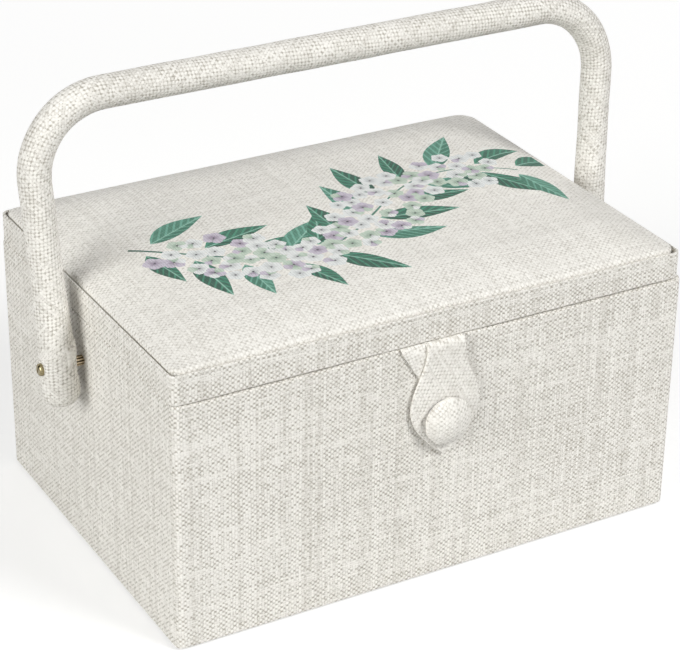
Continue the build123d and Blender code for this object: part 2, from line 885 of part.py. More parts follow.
with BuildPart() as button_back:
    disc_at_button(
        shell_radius - button_shell_thickness - button_fit, button_back_face, button_back_thickness,
    )
    disc_at_button(button_shank_radius, strap_front_face, button_shank_length)
finish_part(button_back, "button_back")
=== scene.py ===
import json
import math
from functools import partial
from random import Random

import bmesh
import bpy
import numpy as np
from mathutils import Matrix, Vector
from mathutils.geometry import delaunay_2d_cdt


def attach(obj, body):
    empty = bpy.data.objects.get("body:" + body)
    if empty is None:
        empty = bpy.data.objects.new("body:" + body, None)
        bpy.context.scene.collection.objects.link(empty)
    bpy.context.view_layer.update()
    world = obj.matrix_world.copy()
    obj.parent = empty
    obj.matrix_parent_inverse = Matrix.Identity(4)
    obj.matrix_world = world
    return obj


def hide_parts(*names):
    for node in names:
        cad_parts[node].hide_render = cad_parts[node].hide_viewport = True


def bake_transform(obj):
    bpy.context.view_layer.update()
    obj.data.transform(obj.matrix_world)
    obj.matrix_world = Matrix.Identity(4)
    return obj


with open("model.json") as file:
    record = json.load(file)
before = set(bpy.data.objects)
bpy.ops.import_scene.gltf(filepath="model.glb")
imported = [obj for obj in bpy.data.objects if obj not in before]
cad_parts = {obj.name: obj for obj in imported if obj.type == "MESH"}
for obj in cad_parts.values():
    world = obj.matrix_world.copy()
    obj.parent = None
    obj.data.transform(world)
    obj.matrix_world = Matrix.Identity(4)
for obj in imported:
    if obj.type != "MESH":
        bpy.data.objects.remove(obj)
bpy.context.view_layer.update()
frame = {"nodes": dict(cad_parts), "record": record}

# Shapes are worked out in millimetres, and mesh_object turns them into metres
MM = 0.001


def linked(name, data):
    """A new object in the scene for a mesh, a lamp or a camera."""
    made = bpy.data.objects.new(name, data)
    bpy.context.scene.collection.objects.link(made)
    return made


# Camera at the photograph's viewing angle, in metres and degrees
CAMERA_PLACE = (-0.4825, -0.8510, 0.5965)
CAMERA_AZIMUTH, CAMERA_ELEVATION, CAMERA_ROLL = -29.65, 27.60, 0.696
CAMERA_LENS, CAMERA_SENSOR = 123.48, 36.0


def add_camera():
    azimuth, elevation, roll = map(math.radians, (CAMERA_AZIMUTH, CAMERA_ELEVATION, CAMERA_ROLL))
    level = math.cos(elevation)
    back = Vector((math.sin(azimuth) * level, -math.cos(azimuth) * level, math.sin(elevation)))
    right = Vector((math.cos(azimuth), math.sin(azimuth), 0))
    up = back.cross(right)
    rolled_right = math.cos(roll) * right + math.sin(roll) * up
    rolled_up = math.cos(roll) * up - math.sin(roll) * right
    data = bpy.data.cameras.new("camera")
    data.lens, data.sensor_width = CAMERA_LENS, CAMERA_SENSOR
    data.clip_start, data.clip_end = 0.01, 20
    camera = linked("camera", data)
    camera.matrix_world = Matrix((rolled_right, rolled_up, back)).transposed().to_4x4()
    camera.location = CAMERA_PLACE
    bpy.context.scene.camera = camera


# Node graphs
class Value:
    """An output of a node. Arithmetic on it adds further nodes."""

    def __init__(self, graph, socket):
        self.graph, self.socket = graph, socket

    def math(self, operation, *others):
        return self.graph.math(operation, self, *others)

    def span(self, low, high, to_low=0.0, to_high=1.0):
        """Smooth step from to_low at low to to_high at high."""
        inputs = (self, low, high, to_low, to_high)
        return self.graph.node("ShaderNodeMapRange", inputs, interpolation_type="SMOOTHSTEP")

    def __add__(self, other):
        return self.math("ADD", other)

    def __sub__(self, other):
        return self.math("SUBTRACT", other)

    def __rsub__(self, other):
        return self.graph.math("SUBTRACT", other, self)

    def __mul__(self, other):
        return self.math("MULTIPLY", other)

    def __truediv__(self, other):
        return self.math("DIVIDE", other)

    def __pow__(self, other):
        return self.math("POWER", other)

    def __abs__(self):
        return self.math("ABSOLUTE")


class Graph:
    """Short calls that add the nodes of one material and join them."""

    def __init__(self, tree):
        self.tree = tree
        tree.nodes.clear()

    def node(self, kind, inputs=(), output=0, **settings):
        """One output of a new node, whose inputs are given by place or by name."""
        node = self.tree.nodes.new(kind)
        for key, setting in settings.items():
            setattr(node, key, setting)
        for key, value in inputs.items() if isinstance(inputs, dict) else enumerate(inputs):
            socket = node.inputs[key]
            if isinstance(value, Value):
                self.tree.links.new(value.socket, socket)
            else:
                socket.default_value = (*value, 1) if socket.type == "RGBA" else value
        return Value(self, node.outputs[output]) if node.outputs else None

    def outputs(self, kind, inputs=()):
        """All outputs of a new node, by name."""
        sockets = self.node(kind, inputs).socket.node.outputs
        return {socket.name: Value(self, socket) for socket in sockets}

    def math(self, operation, *values):
        return self.node("ShaderNodeMath", values, operation=operation)

    def mix(self, share, first, second):
        """Colour between two colours."""
        return self.node("ShaderNodeMix", {0: share, 6: first, 7: second}, 2, data_type="RGBA")

    def between(self, share, first, second):
        """Number between two numbers."""
        return self.node("ShaderNodeMix", {0: share, 2: first, 3: second}, data_type="FLOAT")

    def point(self, x, y, z=0.0):
        return self.node("ShaderNodeCombineXYZ", (x, y, z))

    def split(self, vector):
        return self.outputs("ShaderNodeSeparateXYZ", (vector,)).values()

    def noise(self, vector, scale, detail=2.0, roughness=0.5):
        inputs = {"Vector": vector, "Scale": scale, "Detail": detail, "Roughness": roughness}
        return self.node("ShaderNodeTexNoise", inputs, "Fac")

    def white(self, value, seed):
        inputs = {"Vector": self.point(value, seed)}
        return self.node("ShaderNodeTexWhiteNoise", inputs, "Value", noise_dimensions="2D")

    def uv(self, name):
        return self.node("ShaderNodeUVMap", uv_map=name)

    def object_place(self):
        return self.node("ShaderNodeTexCoord", output="Object")

    def bump(self, height, distance, strength=1.0):
        return self.node("ShaderNodeBump", {"Height": height, "Distance": distance, "Strength": strength})

    def surface(self, colour, roughness, normal, **constants):
        inputs = {"Base Color": colour, "Roughness": roughness, "Normal": normal}
        inputs.update({key.replace("_", " "): value for key, value in constants.items()})
        self.show(self.node("ShaderNodeBsdfPrincipled", inputs))

    def show(self, shader, kind="Material"):
        self.node("ShaderNodeOutput" + kind, (shader,))

    def seen(self):
        """1 for rays from the camera, mirrors and glass, 0 for light."""
        path = self.outputs("ShaderNodeLightPath")
        looked = path["Is Camera Ray"].math("MAXIMUM", path["Is Glossy Ray"])
        return looked.math("MAXIMUM", path["Is Transmission Ray"])


def new_material(name):
    material = bpy.data.materials.new(name)
    material.use_nodes = True
    return material, Graph(material.node_tree)


# Linen: a plain weave of uneven threads, measured in metres along its own UV map
# The last of these colours is painted shade, shown in the openings between the threads.
THREAD_LIGHT, THREAD_DARK, GAP_PAINTED_SHADE = (0.93, 0.91, 0.86), (0.36, 0.33, 0.275), (0.20, 0.175, 0.135)
WARP_PITCH, WEFT_SHARE = 1.31 * MM, 0.87
SWAY, SWAY_SCALE = 0.9, 60.0
SLUB_RUN = 0.16
THREAD_ASIDE, SLUB_ASIDE = 0.34, 0.5
THREAD_WIDTH, THREAD_SLUB, THREAD_OPEN, THREAD_SHOULDER = 0.72, 0.7, 0.30, 3.6
WARP_LEVEL, WEFT_LEVEL, ARCH = 0.58, 0.45, 0.30
# The dip and depth tones paint shade into the low places of the weave.
THREAD_TONES, SLUB_TONE, FIBRE_TONE, DIP_PAINTED_SHADE, DEPTH_PAINTED_SHADE, PATCH_TONE = 0.34, 0.70, 0.95, 0.85, 0.5, 0.20


def linen_weave(graph, pitch, contrast, openness):
    """(colour, height) of the weave; openness is how much of the painted shade shows between the threads.

    The threads are light, with painted shade in small dark places where the warp dips under the weft, and in
    the low places of the weave."""
    along, across, _ = graph.split(graph.uv("weave"))
    place = graph.point(along, across)
    sway = (graph.noise(place, SWAY_SCALE) - 0.5) * SWAY
    across_sway = (graph.noise(graph.point(across, along, 0.37), SWAY_SCALE) - 0.5) * SWAY
    u = along / pitch + sway
    v = across / (pitch * WEFT_SHARE) + across_sway
    warp, weft = u.math("FLOOR"), v.math("FLOOR")
    in_warp, in_weft = u.math("FRACT"), v.math("FRACT")

    def slub(thread, run, seed):
        """Thick and thin places along a thread."""
        return graph.noise(graph.point(graph.white(thread, seed) * 40.0, run * SLUB_RUN, seed), 1.0, 3.0, 0.6)

    def profile(inside, thick, thread, seed):
        """Round section of a thread that is wider where it has a slub, and lies a little out of step."""
        aside = (graph.white(thread, seed) - 0.5) * THREAD_ASIDE + (thick - 0.5) * SLUB_ASIDE
        width = thick * THREAD_SLUB + (THREAD_WIDTH - THREAD_OPEN * openness)
        share = abs(inside * 2.0 - 1.0 + aside) / width
        return (1.0 - share**THREAD_SHOULDER).math("MAXIMUM", 0.0)

    def laid(thread_round, arch, on_top, own_level):
        """Height of a thread that arches over its neighbour or dips below it."""
        return thread_round * (arch * (on_top * 2.0 - 1.0) * ARCH + own_level)

    def thread_tone(thread, thick, seed):
        return graph.white(thread, seed) * THREAD_TONES + (1.0 - thick) * SLUB_TONE

    warp_slub, weft_slub = slub(warp, v, 1.3), slub(weft, u, 7.9)
    warp_round, weft_round = profile(in_warp, warp_slub, warp, 2.3), profile(in_weft, weft_slub, weft, 4.9)
    odd = (warp + weft).math("FLOORED_MODULO", 2.0)
    warp_arch, weft_arch = (in_weft * math.pi).math("SINE"), (in_warp * math.pi).math("SINE")
    warp_high = laid(warp_round, warp_arch, 1.0 - odd, WARP_LEVEL)
    weft_high = laid(weft_round, weft_arch, odd, WEFT_LEVEL)
    height = warp_high.math("MAXIMUM", weft_high)
    warp_shows = warp_high.math("GREATER_THAN", weft_high)

    tone = graph.between(warp_shows, thread_tone(weft, weft_slub, 3.1), thread_tone(warp, warp_slub, 5.7))
    tone += (graph.noise(place, 1500.0, 3.0, 0.6) - 0.5) * FIBRE_TONE
    # painted shade: darker spots where the warp dips under the weft
    dip_shade = (warp_arch * weft_arch).span(0.15, 0.65) * odd
    tone += dip_shade * (graph.white(warp, weft) * DIP_PAINTED_SHADE)
    # painted shade: the lower the weave lies, the darker it is painted
    tone += (0.6 - height) * DEPTH_PAINTED_SHADE
    tone += (graph.noise(place, 24.0, 3.0) - 0.5) * PATCH_TONE
    thread = graph.mix(tone.span(0.22, 1.35, 0.0, contrast), THREAD_LIGHT, THREAD_DARK)
    # painted shade in the openings between the threads
    gap = warp_round.math("MAXIMUM", weft_round).span(0.05, 0.45, 1.0, 0.0)
    return graph.mix(gap * contrast, thread, GAP_PAINTED_SHADE), height


def linen(name, contrast, openness, relief, pitch=WARP_PITCH):
    material, graph = new_material(name)
    colour, height = linen_weave(graph, pitch, contrast, openness)
    bump = graph.bump(height, relief, 0.8)
    graph.surface(colour, 0.92, bump, Sheen_Weight=0.12, Sheen_Roughness=0.5, Specular_IOR_Level=0.2)
    return material


def cotton(name, light, dark, pitch=0.45 * MM):
    """Fine plain cotton, in object coordinates so that it needs no map of its own."""
    material, graph = new_material(name)
    place = graph.object_place()
    waves = [(axis * (math.tau / pitch)).math("SINE") for axis in graph.split(place)]
    bump = graph.bump(waves[0] + waves[1] + waves[2], 0.02 * MM, 0.5)
    share = graph.noise(place, 900.0, 3.0) * 0.6 + graph.noise(place, 18.0, 3.0) * 0.4
    colour = graph.mix(share.span(0.3, 0.7), dark, light)
    graph.surface(colour, 0.9, bump, Sheen_Weight=0.1, Specular_IOR_Level=0.2)
    return material


RIB_PAINTED_SHADE = (0.10, 0.072, 0.035)


def metal(name, light, dark, roughness, ribs=0):
    """Worn metal: a fine grain, tarnish in clouds, and painted shade in the grooves between the ribs round
    the handle's axis.
    """
    material, graph = new_material(name)
    place = graph.object_place()
    grain = graph.noise(place, 900.0, 3.0)
    colour = graph.mix(graph.noise(place, 260.0, 3.0).span(0.42, 0.68), light, dark)
    # painted shade: the grooves between the ribs are darkened
    if ribs:
        _, y, z = graph.split(place)
        angle = (z - PIVOT_Z * MM).math("ARCTAN2", y)
        crest = (angle * ribs).math("COSINE").span(-0.5, 0.5)
        colour = graph.mix(crest, RIB_PAINTED_SHADE, colour)
    rough = grain.span(0.3, 0.7, roughness - 0.06, roughness + 0.10)
    graph.surface(colour, rough, graph.bump(grain, 0.01 * MM, 0.4), Metallic=1.0)
    return material


def board(name, light, dark):
    """Grey-brown fibre board with a felt of fibres."""
    material, graph = new_material(name)
    place = graph.object_place()
    specks = graph.noise(place, 700.0, 4.0, 0.65)
    share = specks * 0.7 + graph.noise(place, 40.0, 2.0) * 0.3
    colour = graph.mix(share.span(0.35, 0.65), dark, light)
    graph.surface(colour, 0.9, graph.bump(specks, 0.05 * MM, 0.5), Specular_IOR_Level=0.25)
    return material


def moulded(name, light, dark, roughness, **constants):
    """Moulded plastic with a fine grain."""
    material, graph = new_material(name)
    place = graph.object_place()
    grain = graph.noise(place, 1800.0, 2.0)
    colour = graph.mix(graph.noise(place, 30.0, 2.0).span(0.35, 0.65), dark, light)
    rough = grain.span(0.3, 0.7, roughness - 0.03, roughness + 0.05)
    graph.surface(colour, rough, graph.bump(grain, 0.01 * MM, 0.3), **constants)
    return material


# Mesh making
def mesh_object(name, places, faces, materials, weave=None, shape=None, kinds=None, outwards=False):
    """Object from points in millimetres.

    weave gives the place of each corner of each face on the cloth, in millimetres, and shape its place on
    the printed shape. kinds numbers each face's material. outwards turns the faces of a closed mesh out."""
    mesh = bpy.data.meshes.new(name)
    points = (np.asarray(places, float) * MM).tolist()
    mesh.from_pydata(points, [], [tuple(int(i) for i in face) for face in faces])
    for map_name, corners, scale in (("weave", weave, MM), ("shape", shape, 1.0)):
        if corners is not None:
            layer = mesh.uv_layers.new(name=map_name)
            layer.data.foreach_set("uv", (np.asarray(corners, float) * scale).astype(np.float32).ravel())
    for material in materials:
        mesh.materials.append(material)
    if kinds is not None:
        mesh.polygons.foreach_set("material_index", np.asarray(kinds, np.int32))
    mesh.polygons.foreach_set("use_smooth", [True] * len(mesh.polygons))
    mesh.validate()
    if outwards:
        edit = bmesh.new()
        edit.from_mesh(mesh)
        face_out(edit, mesh)
    return linked(name, mesh)


def face_out(edit, mesh):
    """Turns the faces of the edited mesh outwards and puts it into the mesh."""
    bmesh.ops.recalc_face_normals(edit, faces=edit.faces)
    edit.to_mesh(mesh)
    edit.free()


def bands(rows, around, closed=False, start=0):
    """Faces that join each ring of points to the next, and the last to the first if closed."""
    faces = []
    for r in range(rows if closed else rows - 1):
        low, high = start + r * around, start + (r + 1) % rows * around
        for k in range(around):
            after = (k + 1) % around
            faces.append((low + k, low + after, high + after, high + k))
    return faces


def ends(rows, around, start=0):
    """The two faces that close a stack of rings."""
    last = start + (rows - 1) * around
    return [tuple(range(start, start + around))[::-1], tuple(range(last, last + around))]


def skin(name, rings, u, v, material, closed=True):
    """Surface through rings[r][k] of points; u runs along a ring, v from ring to ring."""
    count, size = len(rings), len(rings[0])
    corners = []
    for r in range(count if closed else count - 1):
        for k in range(size):
            corners += [(u[k], v[r]), (u[k + 1], v[r]), (u[k + 1], v[r + 1]), (u[k], v[r + 1])]
    places = np.reshape(rings, (-1, 3))
    return mesh_object(name, places, bands(count, size, closed), [material], corners)


def run_lengths(points):
    """Distance along a closed row of points, with one more entry than points."""
    points = np.asarray(points, float)
    steps = np.linalg.norm(np.diff(np.vstack([points, points[:1]]), axis=0), axis=1)
    return np.concatenate([[0], np.cumsum(steps)])


CORNER_STEPS = 8
LONG_STEPS, SHORT_STEPS = 57, 41
LEAST_RADIUS = 0.5


def rounded_ring(length, depth, radii, inset=0.0, z=0.0):
    """Points of a rounded rectangle, inset from its outline, always in the same number.

    radii is one radius, or those of the front right, back right, back left and front left corners."""
    if not isinstance(radii, tuple):
        radii = (radii,) * 4
    corners = []
    for (sign_x, sign_y), radius in zip(((1, -1), (1, 1), (-1, 1), (-1, -1)), radii):
        shrunk = max(radius - inset, LEAST_RADIUS)
        x, y = length / 2 - inset - shrunk, depth / 2 - inset - shrunk
        corners.append((sign_x * x, sign_y * y, shrunk))

    def on_arc(corner, degrees):
        x, y, radius = corners[corner % 4]
        turn = math.radians(degrees)
        return np.array((x + radius * math.cos(turn), y + radius * math.sin(turn), z))

    points = []
    for quarter in range(4):
        end = 90 * quarter
        points += [on_arc(quarter, end - 90 + 90 * step / CORNER_STEPS) for step in range(CORNER_STEPS)]
        first, last = on_arc(quarter, end), on_arc(quarter + 1, end)
        steps = LONG_STEPS if quarter % 2 else SHORT_STEPS
        points += [first + (last - first) * step / steps for step in range(steps)]
    return points


def arc_profile(centre_inset, centre_z, radius, start, end, steps=4):
    """(inset, z) points on an arc; angles in degrees, 180 points out of the box and 90 up."""
    angles = [math.radians(start + (end - start) * k / steps) for k in range(steps + 1)]
    return [(centre_inset + radius * math.cos(a), centre_z + radius * math.sin(a)) for a in angles]


def filled(outlines, spots, start, places, place, mode, epsilon, digits):
    """Triangles between flat outlines and spots, as numbers of places, with the outlines that each lies in.

    The first outline's points are the places from start on, and place(x, y) makes each further one."""
    points, polygons = [], []
    for outline in outlines:
        polygons.append(list(range(len(points), len(points) + len(outline))))
        points += [Vector(p) for p in outline]
    points += [Vector(spot) for spot in spots]
    flat, _, triangles, _, _, owners = delaunay_2d_cdt(points, [], polygons, mode, epsilon)
    known = {(round(x, digits), round(y, digits)): start + k for k, (x, y) in enumerate(outlines[0])}
    numbers = []
    for x, y in flat:
        index = known.get((round(x, digits), round(y, digits)), len(places))
        if index == len(places):
            places.append(place(x, y))
        numbers.append(index)
    faces = [tuple(numbers[i] for i in triangle) for triangle in triangles]
    return [(face, owner) for face, owner in zip(faces, owners) if len(set(face)) == 3]


def placed(piece, body, nodes=()):
    """The piece rides on a body and stands for its CAD nodes, which it hides."""
    if nodes:
        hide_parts(*nodes)
    if body:
        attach(piece, body)
    return piece


def smooth(value, low, high):
    """Smooth step from 0 at low to 1 at high."""
    t = min(max((value - low) / (high - low), 0.0), 1.0)
    return t * t * (3 - 2 * t)


def gentle(x, y, size, seed):
    """Smooth unevenness from -1 to 1 with waves of about that size, the same on each run."""
    turns = Random(seed)
    total = 0.0
    for _ in range(5):
        angle, phase = turns.uniform(0, math.tau), turns.uniform(0, math.tau)
        scale = math.tau / size * turns.uniform(0.6, 1.6)
        total += math.sin(scale * (x * math.cos(angle) + y * math.sin(angle)) + phase)
    return total / 5


# Sizes shared with the solids
BODY_LENGTH, BODY_DEPTH, BODY_RADIUS, BODY_TOP = 260.0, 186.0, 3.6, 122.0
LID_LENGTH, LID_DEPTH, LID_RADIUS = 257.6, 183.6, 10.0
LID_BOTTOM, SEAM = 122.3, 137.1
CLOTH, WALL = 0.8, 5.0
TURN_IN = WALL + 2 * CLOTH
BASE = 1.0

# The lid's cloth as the photograph has it: rim nearly flush with the body in front and at the left, and the
# padded top set in a groove of its own
RIM_LENGTH, RIM_DEPTH, RIM_SHIFT = 258.3, 184.7, (-0.85, -0.55)
RIM_RADII, RIM_TOP = (4.0, 8.0, 3.6, 3.6), 136.4
LID_CONTRAST = 0.6

LINEN = linen("linen_box", 0.9, 0.5, 0.22 * MM)
LINEN_LID = linen("linen_lid", LID_CONTRAST, 0.45, 0.2 * MM)
LINEN_HANDLE = linen("linen_handle", 0.85, 0.5, 0.2 * MM)
LINEN_TAB = linen("linen_tab", 0.62, 0.4, 0.2 * MM)


def body_profile():
    """Hem below, rounded top edge and turn-in of the body's linen."""
    fold = 1.1
    profile = [(15.0, BASE), (8.0, BASE), (fold, BASE)]
    profile += arc_profile(fold, BASE + fold, fold, 270, 180)[1:]
    profile += [(0.0, z) for z in np.linspace(10, 113, 12)]
    profile += arc_profile(fold, BODY_TOP - fold, fold, 180, 90)
    profile += arc_profile(TURN_IN - fold, BODY_TOP - fold, fold, 90, 0)
    profile += [(TURN_IN, 100.0), (TURN_IN, 77.6), (TURN_IN - 0.3, 77.0), (WALL + CLOTH, 77.0)]
    profile += [(WALL + CLOTH, BODY_TOP - CLOTH), (CLOTH, BODY_TOP - CLOTH), (CLOTH, BASE + CLOTH)]
    return profile + [(15.0, BASE + CLOTH)]


def rim_profile():
    """Outer face, top edge and groove on the rim's outline, then the turn-in on the lid boards' outline."""
    fold, lip = 0.9, 0.55
    outer = arc_profile(fold, LID_BOTTOM + fold, fold, 270, 180)
    outer += [(0.0, z) for z in (125.0, 128.0, 131.0, 133.5, 135.0)]
    outer += arc_profile(lip, RIM_TOP - lip, lip, 180, 30, 5)
    outer += [(1.15, RIM_TOP - 0.9), (1.15, 133.4)]
    inner = [(TURN_IN, 133.0), (TURN_IN, 128.0)]
    inner += arc_profile(TURN_IN - fold, LID_BOTTOM + fold, fold, 0, -90, 3)
    return outer, inner


def wrapped(name, rings, outline, profile, body, node):
    """Linen round the body or the lid: rings that follow a closed profile of (inset, height)."""
    v = run_lengths([(inset, z, 0) for inset, z in profile])
    piece = skin(name, rings, run_lengths(outline), v, LINEN)
    piece.modifiers.new("even_normals", "WEIGHTED_NORMAL").keep_sharp = True
    return placed(piece, body, [node])


def settle(x, y, z):
    """The lid's top sits a little lower towards the front right."""
    return -0.9 * smooth(x, 5, 75) * (0.5 - y / LID_DEPTH) * smooth(z, 126, 135)


def body_linen():
    outline, profile = (BODY_LENGTH, BODY_DEPTH, BODY_RADIUS), body_profile()
    rings = [rounded_ring(*outline, inset, z) for inset, z in profile]
    return wrapped("linen_of_the_body", rings, rounded_ring(*outline), profile, "box", "body_cover")


def rim_linen():
    outline, (outer, inner) = (RIM_LENGTH, RIM_DEPTH, RIM_RADII), rim_profile()
    rings = [np.add(rounded_ring(*outline, inset, z), (*RIM_SHIFT, 0)) for inset, z in outer]
    rings += [np.array(rounded_ring(LID_LENGTH, LID_DEPTH, LID_RADIUS, inset, z)) for inset, z in inner]
    for ring in rings:
        for point in ring:
            point[2] += settle(*point)
    return wrapped("linen_of_the_rim", rings, rounded_ring(*outline), outer + inner, "lid", "rim_cover")


# How far the cloth waves, in millimetres, and the size of its waves
WALL_WAVE, WALL_WAVES = 0.16, 70.0
EDGE_WAVE, EDGE_SINK, EDGE_WAVES = 0.15, 0.12, 13.0
EDGE_RISE, RISE_WAVES = 0.10, 17.0
RIM_SINK = 0.17


def uneven(piece, edge_z, low, high, drop, seed):
    """Cloth over board is never quite flat: walls wave a little, and so does the edge at the split line.

    drop is how far the edge lies lower along the front, but for the place by the strap."""
    for vertex in piece.data.vertices:
        x, y, z = vertex.co / MM
        on_side = abs(x) / BODY_LENGTH > abs(y) / BODY_DEPTH
        sides = ((x, BODY_LENGTH / 2), (y, BODY_DEPTH / 2))
        (across, half_across), (along, half_along) = sides if on_side else sides[::-1]
        if abs(across) <= half_across - 2.6:
            continue
        run = along + (400.0 if on_side else 0.0) + (900.0 if across > 0 else 0.0)
        sign = math.copysign(MM, across)
        outward = Vector((sign, 0, 0)) if on_side else Vector((0, sign, 0))
        corner = min(1.0, max(0.0, (half_along - abs(along)) / 12))
        near = 1.0 - min(1.0, abs(z - edge_z) / 2.5)
        if low < z < high:
            vertex.co += outward * (WALL_WAVE * gentle(run, z, WALL_WAVES, seed) - WALL_WAVE) * corner
        if near > 0:
            wave = EDGE_WAVE * gentle(run, 0.0, EDGE_WAVES, seed + 1) - EDGE_SINK
            vertex.co += outward * wave * near * corner
            vertex.co.z += EDGE_RISE * gentle(run, 40.0, RISE_WAVES, seed + 2) * near * MM
        if z < edge_z + 2 and edge_z > BODY_TOP:
            vertex.co.z -= RIM_SINK * smooth(-x, 60, 125) * near * MM
        if y < 0 and not on_side:
            by_the_strap = smooth(x, -62, -24) * smooth(x, 34, 16)
            vertex.co.z -= drop * (1 - by_the_strap) * smooth(x, -130, -116) * near * MM


body_cover, rim_cover = body_linen(), rim_linen()
uneven(body_cover, BODY_TOP, 6.0, BODY_TOP - 2.0, 0.70, 21)
uneven(rim_cover, LID_BOTTOM, LID_BOTTOM + 2.0, SEAM - 2.0, 0.05, 27)


def signed_area(outline):
    """Twice the area within an outline, negative if it runs clockwise."""
    return sum(a[0] * b[1] - b[0] * a[1] for a, b in zip(outline, outline[1:] + outline[:1]))


# Printed garland: five-petal blossoms and lance leaves along a curved stem
class Print:
    """Flat shapes in paint order: ink, outline, origin, direction, length and width."""

    def __init__(self):
        self.shapes = []

    def add(self, ink, outline, origin, along, length, width):
        if signed_area(outline) < 0:
            outline = outline[::-1]
        self.shapes.append((ink, outline, origin, along, length, width))

    def drop(self, ink, root, heading, length, width, points, fullness, bend=0.0):
        """A petal or leaf from its root; fullness is where along it is widest."""
        along = (math.cos(heading), math.sin(heading))
        steps = [k / points for k in range(points + 1)]
        power = math.log(0.5) / math.log(fullness)
        outline = []
        for side, run in ((1, steps), (-1, steps[::-1][1:-1])):
            for t in run:
                aside = side * width / 2 * math.sin(math.pi * t**power)
                aside += bend * length * math.sin(math.pi * t)
                outline.append((
                    root[0] + along[0] * t * length - along[1] * aside,
                    root[1] + along[1] * t * length + along[0] * aside,
                ))
        self.add(ink, outline, root, along, length, width)

    def band(self, ink, line, width):
        """A stem along a line of points, half as wide at its end."""
        left, right = [], []
        for k, (x, y) in enumerate(line):
            before, after = line[max(k - 1, 0)], line[min(k + 1, len(line) - 1)]
            run = Vector((after[0] - before[0], after[1] - before[1])).normalized()
            half = width / 2 * (1.0 - 0.5 * k / (len(line) - 1))
            left.append((x - run.y * half, y + run.x * half))
            right.append((x + run.y * half, y - run.x * half))
        self.add(ink, left + right[::-1], line[0], (1.0, 0.0), STEM_MAP, STEM_MAP)

    def disc(self, ink, centre, radius, corners=6):
        angles = [math.tau * k / corners for k in range(corners)]
        ring = [(centre[0] + radius * math.cos(a), centre[1] + radius * math.sin(a)) for a in angles]
        self.add(ink, ring, centre, (1.0, 0.0), radius, radius)


STEM_MAP = 40.0
LEAF_PALE = (0.33, 0.60, 0.49)


def printed(name, base, deep, leaf=False):
    """Ink on the linen: streaked petals, or leaves with veins; between the threads it is painted darker, as
    shade, and lets some of the weave show.
    """
    material, graph = new_material(name)
    weave, height = linen_weave(graph, WARP_PITCH, LID_CONTRAST, 0.5)
    along, across, _ = graph.split(graph.uv("shape"))
    middle = abs(across)
    brush = graph.noise(graph.point(along * 1.6, across * 5.0), 1.0, 3.0, 0.6)
    tone = brush * 0.6 + graph.noise(graph.uv("weave"), 260.0, 2.0) * 0.4
    if leaf:
        vein = abs((along * 7.0 - middle * 1.7).math("FRACT") - 0.5)
        tone = tone * 0.8 + vein.span(0.28, 0.42) * 0.30 + across.span(-0.25, 0.05) * 0.16
        ink = graph.mix(tone.span(0.38, 0.85), deep, base)
        ink = graph.mix(middle.span(0.03, 0.09, 1.0, 0.0) * 0.75, ink, LEAF_PALE)
    else:
        ink = graph.mix((tone - along.span(0.0, 0.6, 0.30, 0.0)).span(0.22, 0.55), deep, base)
    # painted shade: the ink is darker where the weave lies low
    shaded = graph.mix(height.span(0.0, 0.5), tuple(0.62 * c for c in deep), ink)
    colour = graph.mix(height.span(0.0, 0.35, 0.70, 0.96), weave, shaded)
    bump = graph.bump(height, 0.20 * MM, 0.8)
    graph.surface(colour, 0.9, bump, Sheen_Weight=0.08, Sheen_Roughness=0.5, Specular_IOR_Level=0.2)
    return material


INKS = [
    LINEN_LID,
    printed("ink_leaf_deep", (0.045, 0.27, 0.17), (0.006, 0.075, 0.045), leaf=True),
    printed("ink_leaf_soft", (0.16, 0.42, 0.32), (0.03, 0.17, 0.11), leaf=True),
    printed("ink_petal_white", (0.84, 0.86, 0.85), (0.56, 0.58, 0.58)),
    printed("ink_petal_lilac", (0.62, 0.57, 0.66), (0.33, 0.27, 0.36)),
    printed("ink_petal_green", (0.58, 0.68, 0.58), (0.32, 0.43, 0.34)),
    printed("ink_stem", (0.07, 0.24, 0.17), (0.02, 0.10, 0.07)),
    printed("ink_dot", (0.05, 0.05, 0.07), (0.02, 0.02, 0.03)),
]
CLOTH_ONLY, LEAF_DEEP, LEAF_SOFT, WHITE, LILAC, GREEN, STEM, DOT = range(8)
LEAF_PLACES, BLOSSOMS, BLOSSOM_TRIES, BLOSSOM_APART = 12, 92, 4000, 6.9


